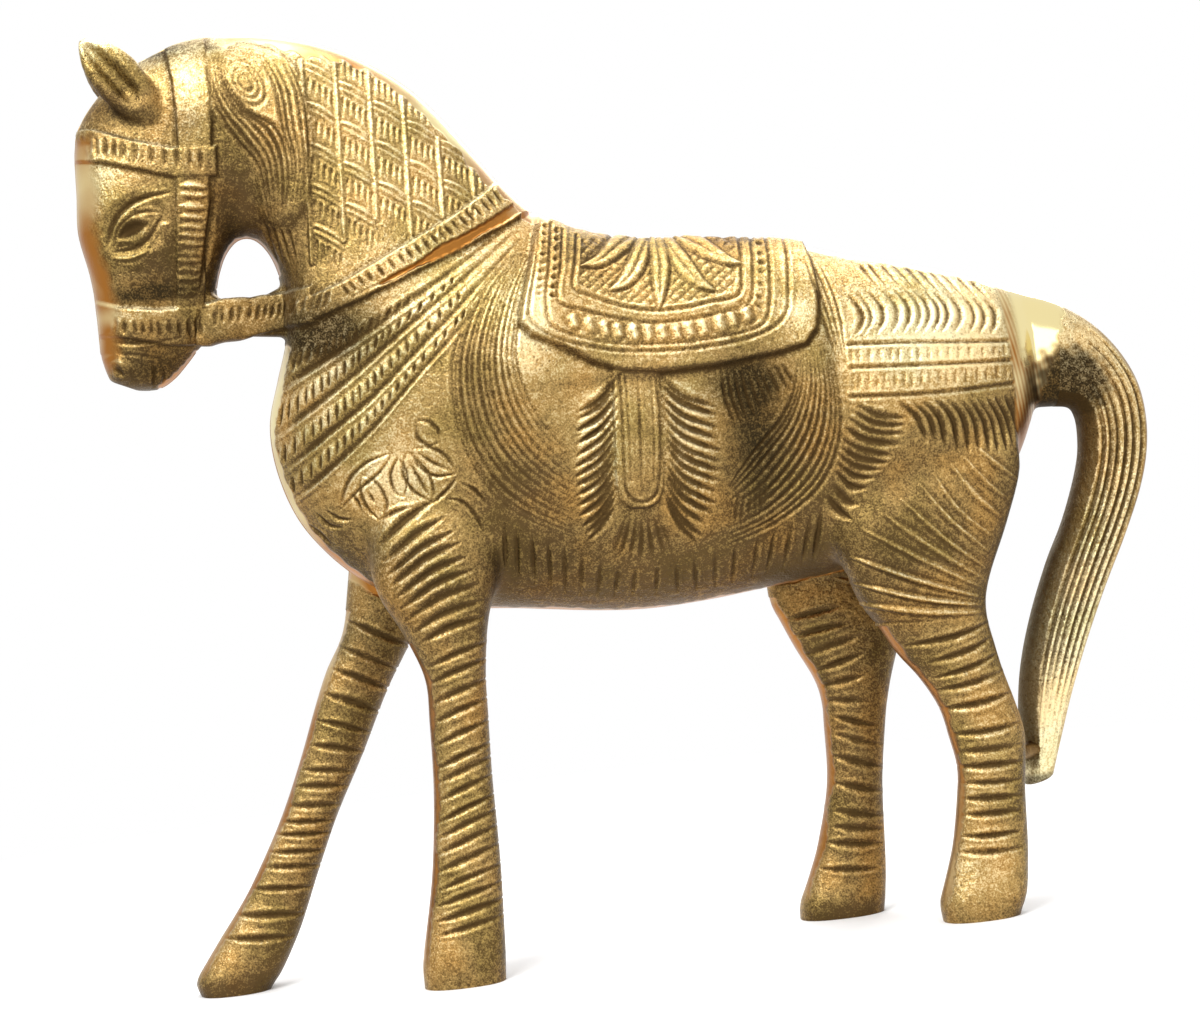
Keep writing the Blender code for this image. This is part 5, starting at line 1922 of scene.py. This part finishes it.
    def part(self, form: Piece) -> list[tuple[Piece, str]]:
        """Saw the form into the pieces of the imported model.

        Args:
            form: The engraved form.

        Returns:
            Each piece with the node that it stands for.
        """
        normals = normals_of(form)
        whole = form.data.attributes.new("whole_normal", "FLOAT_VECTOR", "POINT")
        whole.data.foreach_set("vector", normals.astype(np.float32).ravel())
        gap = self.seam_gap / 2
        right = parted(form, "right_half", Vector((0, gap, 0)), Vector((0, 1, 0)))
        left = parted(form, "left_half", Vector((0, -gap, 0)), Vector((0, -1, 0)))
        bpy.data.objects.remove(form)
        pieces = self.part_half(left, "left") + self.part_half(right, "right")
        for piece, _ in pieces:
            restore_normals(piece)
        return pieces

    def part_half(self, half: Piece, side: str) -> list[tuple[Piece, str]]:
        """Saw one half into neck, breast, barrel, quarter, two legs, their brazes and the collar.

        Args:
            half: The half, which becomes the barrel.
            side: "left" or "right".

        Returns:
            Each piece with the node that it stands for.
        """
        ahead, behind, down = Vector((-1, 0, 0)), Vector((1, 0, 0)), Vector((0, 0, -1))
        front = parted(half, side + "_breast_skin", Vector((self.cut_fore, 0, 0)), ahead)
        rear = parted(half, side + "_quarter_skin", Vector((self.cut_hind, 0, 0)), behind)
        half.name = half.data.name = side + "_barrel_skin"
        pieces = []
        for body, kind, joint in ((front, "foreleg", FORE_JOINT), (rear, "hind_leg", HIND_JOINT)):
            leg, top, low = f"{side}_{kind}", joint + self.joint_half, joint - self.joint_half
            braze = parted(body, leg + "_braze_skin", Vector((0, 0, top)), down)
            shin = parted(braze, leg + "_skin", Vector((0, 0, low)), down)
            bpy.data.objects.remove(parted(shin, "waste", Vector((0, 0, 0)), down))
            pieces += [(braze, leg + "_braze"), (shin, leg)]
        collar = parted(rear, side + "_collar_skin", *self.tail.collar_plane(0))
        bpy.data.objects.remove(parted(collar, "waste", *self.tail.collar_plane(1)))
        place = Vector((self.poll_cut[0], 0, self.poll_cut[1]))
        way = Vector((self.poll_way[0], 0, self.poll_way[1])).normalized()
        neck = parted(front, side + "_neck_and_head_skin", place, way)
        casting = side + "_body_casting"
        return [*pieces, (collar, "tail_root_braze"), (half, casting), (front, casting),
                (rear, casting), (neck, casting)]


def restore_normals(piece: Piece) -> None:
    """Give a sawn piece the smooth normals of the whole form, and flat ones on its cuts.

    Args:
        piece: The piece, which still carries them as an attribute.
    """
    mesh = piece.data
    flat = np.empty(len(mesh.vertices) * 3, np.float32)
    mesh.attributes["whole_normal"].data.foreach_get("vector", flat)
    whole = flat.reshape(-1, 3)
    whole /= np.maximum(np.linalg.norm(whole, axis=1), 1e-9)[:, None]
    corner = np.empty(len(mesh.loops), np.int32)
    mesh.loops.foreach_get("vertex_index", corner)
    sizes = np.empty(len(mesh.polygons), np.int32)
    mesh.polygons.foreach_get("loop_total", sizes)
    facing = np.empty(len(mesh.polygons) * 3, np.float32)
    mesh.polygons.foreach_get("normal", facing)
    facing = np.repeat(facing.reshape(-1, 3), sizes, axis=0)
    normals = whole[corner]
    off = (normals * facing).sum(1) < 0.35
    normals[off] = facing[off]
    mesh.normals_split_custom_set(normals.tolist())
    mesh.attributes.remove(mesh.attributes["whole_normal"])


@dataclass
class TackBraze:
    """The tack of braze between the tail's tip and the left hock."""

    waist: float = 1.9    # its radius half way
    flare: float = 0.7    # how much wider it is at both ends
    # How far its ends lie inside the box of its node, along X and along Y
    inset: Point = (1.6, 0.8)

    def build(self) -> Piece:
        """Loft the tack across the box of its node, wider at both ends.

        Returns:
            The tack.
        """
        low, high = (np.array(corner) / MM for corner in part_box("tail_tip_braze"))
        level = (low[2] + high[2]) / 2
        start = np.array([low[0] + self.inset[0], low[1] + self.inset[1], level])
        stop = np.array([high[0] - self.inset[0], high[1] - self.inset[1], level])
        axis = (stop - start) / np.linalg.norm(stop - start)
        side = np.cross(axis, [0, 0, 1])
        angle = 2 * math.pi * np.arange(32) / 32
        rings = []
        for place in np.linspace(0, 1, 15):
            radius = self.waist + self.flare * (2 * place - 1) ** 2
            radius = radius + 0.12 * np.sin(3 * angle + 9 * place)
            if place in (0.0, 1.0):
                radius = radius * 0.85
            ring = start + (stop - start) * place
            rings.append(ring + side * (radius * np.cos(angle))[:, None]
                         + np.array([0, 0, 1.0]) * (radius * np.sin(angle))[:, None])
        piece = rolled_tube("tail_tip_braze_bead", np.stack(rings))
        blank = np.zeros(len(piece.data.vertices))
        # The tack is painted with shade, as it sits in the darker gap between the tail's tip and
        # the hock
        paint(piece, blank + 0.3, blank + 0.3, blank + 0.55, blank, blank + 0.3)
        bpy.ops.object.shade_smooth_by_angle(angle=math.radians(60))
        return piece


def colour(code: str) -> tuple[float, float, float, float]:
    """A screen colour such as "c8a046" as a linear one."""
    parts = [int(code[k:k + 2], 16) / 255 for k in (0, 2, 4)]
    linear = [p / 12.92 if p <= 0.04045 else ((p + 0.055) / 1.055) ** 2.4 for p in parts]
    return (*linear, 1.0)


class Bench:
    """Puts nodes into a tree and wires them."""

    def __init__(self, tree: bpy.types.NodeTree) -> None:
        """Take up a tree."""
        self.tree = tree
        self.column = 0

    def put(self, kind: str, sockets: dict, **settings: object) -> bpy.types.Node:
        """Add a node.

        Args:
            kind: Type of the node.
            sockets: For each input, by name or number, a value or an output to wire to it.
            **settings: Values for the node's own properties.

        Returns:
            The node.
        """
        node = self.tree.nodes.new(kind)
        node.location = (self.column * 180, 0)
        self.column += 1
        for key, value in settings.items():
            setattr(node, key, value)
        for key, value in sockets.items():
            if isinstance(value, bpy.types.NodeSocket):
                self.tree.links.new(value, node.inputs[key])
            else:
                node.inputs[key].default_value = value
        return node

    def ramp(self, value: bpy.types.NodeSocket, low: float, high: float,
             start: float = 0.0, stop: float = 1.0) -> bpy.types.NodeSocket:
        """A value's stretch from low to high, mapped to start to stop and held there."""
        sockets = {0: value, 1: low, 2: high, 3: start, 4: stop}
        return self.put("ShaderNodeMapRange", sockets, clamp=True).outputs[0]

    def mix(self, share: object, first: object, second: object,
            blend: str = "MIX") -> bpy.types.NodeSocket:
        """A blend of two colours."""
        sockets = {0: share, 6: first, 7: second}
        node = self.put("ShaderNodeMix", sockets, data_type="RGBA", blend_type=blend)
        return node.outputs[2]

    def calc(self, operation: str, *values: object) -> bpy.types.NodeSocket:
        """A sum, product or other reckoning with values."""
        return self.put("ShaderNodeMath", dict(enumerate(values)), operation=operation).outputs[0]

    def looked_at(self) -> bpy.types.NodeSocket:
        """1 where the camera looks, straight or by way of metal or glass, and 0 for other light."""
        ray = self.put("ShaderNodeLightPath", {}).outputs
        seen = self.calc("MAXIMUM", ray["Is Camera Ray"], ray["Is Glossy Ray"])
        return self.calc("MAXIMUM", seen, ray["Is Transmission Ray"])


def new_material(name: str) -> tuple[bpy.types.Material, Bench]:
    """Start a material with an empty node tree.

    Args:
        name: Its name.

    Returns:
        The material and a bench for its tree.
    """
    material = bpy.data.materials.new(name)
    material.use_nodes = True
    material.node_tree.nodes.clear()
    return material, Bench(material.node_tree)


def new_group(name: str, inputs: dict[str, str], outputs: dict[str, str]) -> tuple[
        bpy.types.NodeTree, Bench, bpy.types.Node, bpy.types.Node]:
    """Start a shader node group with named sockets.

    Args:
        name: Its name.
        inputs: Kind of each input by name.
        outputs: Kind of each output by name.

    Returns:
        The group, a bench for it, and its input and output nodes.
    """
    tree = bpy.data.node_groups.new(name, "ShaderNodeTree")
    for in_out, sockets in (("INPUT", inputs), ("OUTPUT", outputs)):
        for socket, kind in sockets.items():
            tree.interface.new_socket(socket, in_out=in_out, socket_type="NodeSocket" + kind)
    return tree, Bench(tree), tree.nodes.new("NodeGroupInput"), tree.nodes.new("NodeGroupOutput")


def sand_grain_group() -> bpy.types.NodeTree:
    """The skin that the sand mould leaves: grain, pits and a slow drift of tone.

    Returns:
        The group.
    """
    tree, bench, source, sink = new_group(
        "sand_grain",
        {"Vector": "Vector", "Grain Scale": "Float", "Pit Scale": "Float"},
        {"Height": "Float", "Pits": "Float", "Drift": "Float", "Speckle": "Float"},
    )
    place = source.outputs["Vector"]
    fine = bench.put("ShaderNodeTexNoise", {
        "Vector": place, "Scale": source.outputs["Grain Scale"], "Detail": 3.0, "Roughness": 0.65,
    }).outputs["Fac"]
    lump_scale = bench.calc("MULTIPLY", source.outputs["Grain Scale"], 0.3)
    lumps = bench.put("ShaderNodeTexNoise", {
        "Vector": place, "Scale": lump_scale, "Detail": 2.0, "Roughness": 0.5,
    }).outputs["Fac"]
    pits = bench.put("ShaderNodeTexVoronoi", {
        "Vector": place, "Scale": source.outputs["Pit Scale"], "Randomness": 1.0,
    })
    where = bench.put("ShaderNodeTexNoise", {"Vector": place, "Scale": 95.0, "Detail": 2.0})
    drift = bench.put("ShaderNodeTexNoise", {"Vector": place, "Scale": 60.0, "Detail": 2.0})
    hole = bench.ramp(pits.outputs["Distance"], 0.0, 0.3, 1.0, 0.0)
    open_pits = bench.calc("MULTIPLY", hole, bench.ramp(where.outputs["Fac"], 0.42, 0.62))
    height = bench.calc("MULTIPLY_ADD", lumps, 1.6, bench.calc("SUBTRACT", fine, open_pits))
    speckle = bench.calc("MULTIPLY_ADD", lumps, 0.3, bench.calc("MULTIPLY", fine, 0.7))
    for name, value in (("Height", height), ("Pits", open_pits),
                        ("Drift", drift.outputs["Fac"]), ("Speckle", speckle)):
        tree.links.new(value, sink.inputs[name])
    return tree


TINTS = ("Deep", "Mid", "Pale", "Patina", "Soot", "Ground Deep", "Ground Pale", "Polished",
         "Warm", "Cool")
POLISHED_ROUGHNESS = 0.12


def brass_wear_and_light_group() -> bpy.types.NodeTree:
    """Brass with painted light and shade: deep brown where painted as shaded, pale where painted as
    lit, and darker in its cuts and pits.

    Returns:
        The group.
    """
    tree, bench, source, sink = new_group(
        "brass_wear_and_light",
        {"Wear And Shade": "Color", **dict.fromkeys(("Polish And Highlight", "Light And Tone", "Pits", "Drift", "Speckle"), "Float"),
         **dict.fromkeys(TINTS, "Color"),
         **dict.fromkeys(("Cast Roughness", "Ground Roughness"), "Float")},
        {"Color": "Color", "Roughness": "Float", "Relief": "Float"},
    )
    get = source.outputs
    split = bench.put("ShaderNodeSeparateColor", {0: get["Wear And Shade"]})
    # the channels: darkness of the cuts with painted shadow, ground zone, painted shade
    cut, ground, soot = split.outputs
    ragged = bench.ramp(get["Speckle"], 0.35, 0.65, 0.22, -0.22)
    groove = bench.ramp(bench.calc("ADD", cut, ragged), 0.12, 0.85)
    grainy = bench.ramp(get["Speckle"], 0.38, 0.62, -0.25, 0.22)
    slow = bench.ramp(get["Drift"], 0.3, 0.7, -0.12, 0.12)

    # The cast skin: its painted light and shade, then coppery and greenish patches, then painted
    # shade, then the darkness of the cuts with the painted shadow, and pits
    light_and_tone = bench.calc("ADD", bench.calc("ADD", get["Light And Tone"], grainy), slow)
    cast = bench.mix(bench.ramp(light_and_tone, 0.05, 0.5), get["Deep"], get["Mid"])
    cast = bench.mix(bench.ramp(light_and_tone, 0.5, 1.0), cast, get["Pale"])
    cast = bench.mix(bench.ramp(get["Drift"], 0.5, 0.66, 0.0, 0.45), cast, get["Warm"], "MULTIPLY")
    cast = bench.mix(bench.ramp(get["Drift"], 0.5, 0.36, 0.0, 0.7), cast, get["Cool"], "MULTIPLY")
    speck = bench.ramp(get["Speckle"], 0.35, 0.6, 1.0, 0.0)
    loose = bench.calc("MULTIPLY", soot, bench.ramp(speck, 0.0, 0.6, 0.68, 1.0))
    cast = bench.mix(loose, cast, get["Soot"])
    cast = bench.mix(bench.calc("MULTIPLY", groove, 0.85), cast, get["Patina"])
    cast = bench.mix(bench.calc("MULTIPLY", get["Pits"], 0.8), cast, get["Patina"])

    # Ground metal in lit and shaded copies, painted shade on it, and buffed metal with a painted
    # highlight over it
    plain = bench.calc("ADD", get["Light And Tone"], slow)
    ground_lit_and_shaded = bench.mix(bench.ramp(plain, 0.35, 0.85), get["Ground Deep"], get["Ground Pale"])
    ground_lit_and_shaded = bench.mix(bench.calc("MULTIPLY", soot, 0.9), ground_lit_and_shaded, get["Soot"])
    colour_out = bench.mix(ground, cast, ground_lit_and_shaded)
    colour_out = bench.mix(get["Polish And Highlight"], colour_out, get["Polished"])

    # Painted shade and the cuts are made duller than brass, and what is ground or buffed has no
    # grain left
    rough = bench.calc("MULTIPLY_ADD", groove, 0.2, get["Cast Roughness"])
    rough = bench.calc("MULTIPLY_ADD", soot, 0.2, rough)
    rough = bench.calc("MULTIPLY_ADD", slow, 0.5, rough)
    to_ground = bench.calc("SUBTRACT", get["Ground Roughness"], rough)
    rough = bench.calc("MULTIPLY_ADD", to_ground, ground, rough)
    to_polish = bench.calc("SUBTRACT", POLISHED_ROUGHNESS, rough)
    rough = bench.calc("MULTIPLY_ADD", to_polish, get["Polish And Highlight"], rough)
    smoothed = bench.calc("MAXIMUM", get["Polish And Highlight"], bench.calc("MULTIPLY", ground, 0.8))
    kept = bench.calc("SUBTRACT", 1.0, smoothed)
    for name, value in (("Color", colour_out), ("Roughness", rough), ("Relief", kept)):
        tree.links.new(value, sink.inputs[name])
    return tree


@dataclass(frozen=True)
class BrassFinish:
    """A brass finish of the record, with its own shares of grain and of painted light and shade."""

    slot: str
    # The ramp of painted light and shade on cast brass: deep in shade, mid, pale in light
    deep: str = "5a462b"
    mid: str = "ab8d55"
    pale: str = "f4e7ba"    # brass in painted light, on faces turned up and on raised parts
    patina: str = "4c3a20"    # what lies in cuts and pits, and the painted shadow below raised edges
    # painted shade in hollows, creases, under ledges and in gaps between parts
    soot: str = "312819"
    ground_deep: str = "a36b2e"    # ground brass in painted shade, coppery where it faces down or forward
    ground_pale: str = "ecdca4"    # ground brass in painted light, where it faces up
    # buffed brass, pale as a painted highlight
    polished: str = "f0dfa4"
    warm: str = "ffe2bc"    # filter over coppery patches
    cool: str = "f0f6e6"    # filter over greenish patches
    cast_roughness: float = 0.4
    ground_roughness: float = 0.32
    grain_scale: float = 2100.0    # grains to the metre
    pit_share: float = 0.35    # casting pits for each grain, counted along a line
    grain_depth: float = 0.16

    def build(self, grain: bpy.types.NodeTree, wear_and_shade: bpy.types.NodeTree) -> bpy.types.Material:
        """Wire the finish.

        Args:
            grain: The group of the sand skin.
            wear_and_shade: The group that paints wearing, light and shade.

        Returns:
            The material.
        """
        material, bench = new_material(self.slot + "_finish")
        place = bench.put("ShaderNodeTexCoord", {}).outputs["Object"]
        wear_and_shade_map = bench.put("ShaderNodeAttribute", {}, attribute_name=WEAR_AND_SHADE).outputs
        skin = bench.put("ShaderNodeGroup", {
            "Vector": place, "Grain Scale": self.grain_scale,
            "Pit Scale": self.grain_scale * self.pit_share,
        }, node_tree=grain).outputs
        light_and_tone = bench.put("ShaderNodeAttribute", {}, attribute_name=LIGHT_AND_TONE).outputs["Fac"]
        worn_and_lit = bench.put("ShaderNodeGroup", {
            "Wear And Shade": wear_and_shade_map["Color"], "Polish And Highlight": wear_and_shade_map["Alpha"], "Light And Tone": light_and_tone,
            "Pits": skin["Pits"], "Drift": skin["Drift"], "Speckle": skin["Speckle"],
            "Cast Roughness": self.cast_roughness, "Ground Roughness": self.ground_roughness,
            **{name: colour(getattr(self, name.replace(" ", "_").lower())) for name in TINTS},
        }, node_tree=wear_and_shade).outputs
        height = bench.calc("MULTIPLY", skin["Height"], worn_and_lit["Relief"])
        bump = bench.put("ShaderNodeBump", {
            "Height": height, "Strength": 1.0, "Distance": self.grain_depth * MM,
        })
        shader = bench.put("ShaderNodeBsdfPrincipled", {
            "Base Color": worn_and_lit["Color"], "Roughness": worn_and_lit["Roughness"],
            "Metallic": 1.0, "Normal": bump.outputs["Normal"],
        })
        bench.put("ShaderNodeOutputMaterial", {"Surface": shader.outputs[0]})
        return material


@dataclass
class Studio:
    """Pale floor, soft lamps and the camera of the photograph."""

    target: tuple[float, float, float] = (-10.5, 0.0, 118.5)
    distance: float = 970.0
    yaw: float = 6.0    # how far the camera stands round towards the head, in degrees
    elevation: float = 2.5
    roll: float = 6.3
    lens: float = 110.0
    sensor: float = 36.0
    shadow_fades: float = 147.0    # from here on the floor's shadow fades
    shadow_reach: float = 420.0    # from here on the floor shows as plain white paper
    room_glow: float = 0.8

    def place_camera(self) -> None:
        """Set up the camera at the photograph's viewing angle."""
        a, e, r = (math.radians(v) for v in (self.yaw, self.elevation, self.roll))
        back = Vector((-math.sin(a) * math.cos(e), -math.cos(a) * math.cos(e), math.sin(e)))
        right = Vector((math.cos(a), -math.sin(a), 0))
        up = back.cross(right)
        across = right * math.cos(r) - up * math.sin(r)
        upright = right * math.sin(r) + up * math.cos(r)
        data = bpy.data.cameras.new("photo_camera")
        data.lens, data.sensor_width = self.lens, self.sensor
        data.clip_start, data.clip_end = 0.01, 50
        camera = bpy.data.objects.new("photo_camera", data)
        turn = Matrix((across, upright, back)).transposed().to_4x4()
        place = (Vector(self.target) + back * self.distance) * MM
        camera.matrix_world = Matrix.Translation(place) @ turn
        bpy.context.scene.collection.objects.link(camera)
        bpy.context.scene.camera = camera

    def lay_floor(self) -> None:
        """Lay the plain pale floor."""
        deselect_all()
        bpy.ops.mesh.primitive_plane_add(size=30.0)
        floor = bpy.context.object
        floor.name = "floor"
        material, bench = new_material("pale_floor")
        shader = bench.put("ShaderNodeBsdfPrincipled",
                           {"Base Color": (0.9, 0.9, 0.9, 1), "Roughness": 0.9})
        paper = bench.put("ShaderNodeEmission", {"Color": (1, 1, 1, 1), "Strength": 1.0})
        seen = bench.looked_at()
        place = bench.put("ShaderNodeTexCoord", {}).outputs["Object"]
        away = bench.put("ShaderNodeVectorMath", {0: place}, operation="LENGTH").outputs["Value"]
        past_shadow = bench.ramp(away, self.shadow_fades * MM, self.shadow_reach * MM)
        floor_mix = bench.put("ShaderNodeMixShader", {
            0: bench.calc("MULTIPLY", seen, past_shadow),
            1: shader.outputs[0],
            2: paper.outputs[0],
        })
        bench.put("ShaderNodeOutputMaterial", {"Surface": floor_mix.outputs[0]})
        floor.data.materials.append(material)

    def light(self) -> None:
        """Hang the lamps and set the room's glow."""
        self.lamp("key", (-420, -640, 760), 420, 7.4)
        self.lamp("fill", (560, -760, 260), 500, 1.3)
        self.lamp("top", (60, 60, 900), 500, 5.0)
        self.lamp("back", (200, 900, 600), 700, 5.0)
        world = bpy.data.worlds.new("room")
        world.use_nodes = True
        world.node_tree.nodes.clear()
        bench = Bench(world.node_tree)
        strength = bench.ramp(bench.looked_at(), 0.0, 1.0, self.room_glow, 1.0)
        room = bench.put("ShaderNodeBackground", {0: (1, 1, 1, 1), 1: strength})
        bench.put("ShaderNodeOutputWorld", {"Surface": room.outputs[0]})
        bpy.context.scene.world = world

    def lamp(self, name: str, place: tuple[float, float, float], size: float, power: float) -> None:
        """Hang a square soft lamp that faces the horse.

        Args:
            name: Its name.
            place: Its place, in millimetres.
            size: Its side, in millimetres.
            power: Its power.
        """
        data = bpy.data.lights.new(name + "_lamp", "AREA")
        data.size, data.energy = size * MM, power
        lamp = bpy.data.objects.new(name + "_lamp", data)
        lamp.location = Vector(place) * MM
        look = (Vector(self.target) - Vector(place)).normalized()
        lamp.rotation_euler = look.to_track_quat("-Z", "Y").to_euler()
        bpy.context.scene.collection.objects.link(lamp)

    def build(self) -> None:
        """Set up floor, light and camera."""
        self.lay_floor()
        self.light()
        self.place_camera()
        bpy.context.scene.view_settings.view_transform = "Standard"


def dress(piece: Piece, material: bpy.types.Material, node: str) -> None:
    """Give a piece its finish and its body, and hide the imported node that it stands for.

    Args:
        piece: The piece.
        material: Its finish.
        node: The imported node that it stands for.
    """
    piece.data.materials.clear()
    piece.data.materials.append(material)
    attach(piece, "root")
    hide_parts(node)
    LOG.info("%s: %d faces for %s", piece.name, len(piece.data.polygons), node)


def main() -> None:
    """Build the horse and its studio."""
    logging.basicConfig(level=logging.INFO, format="%(message)s")
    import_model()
    grain, wear_and_shade = sand_grain_group(), brass_wear_and_light_group()
    antique = BrassFinish("antique_brass")
    seam = BrassFinish("ground_brass", grain_depth=0.05)
    buffed = BrassFinish("polished_brass", grain_depth=0.03)
    materials = {finish.slot: finish.build(grain, wear_and_shade) for finish in (antique, seam, buffed)}

    horse = HorseForm()
    form = horse.cast()
    LOG.info("form: %d faces", len(form.data.polygons))
    surface = horse.engrave(form)
    for braze in SEAM:
        strip = braze.build(horse.trunk, surface)
        strip.name = strip.data.name = braze.name + "_strip"
        dress(strip, materials["ground_brass"], braze.name)
    for piece, node in horse.part(form):
        slot = "polished_brass" if node == "tail_root_braze" else "antique_brass"
        dress(piece, materials[slot], node)
    tail = horse.tail.build()
    tail.name = tail.data.name = "tail_skin"
    dress(tail, materials["antique_brass"], "tail")
    tack = TackBraze().build()
    dress(tack, materials["ground_brass"], "tail_tip_braze")
    Studio().build()


if __name__ == "__main__":
    main()
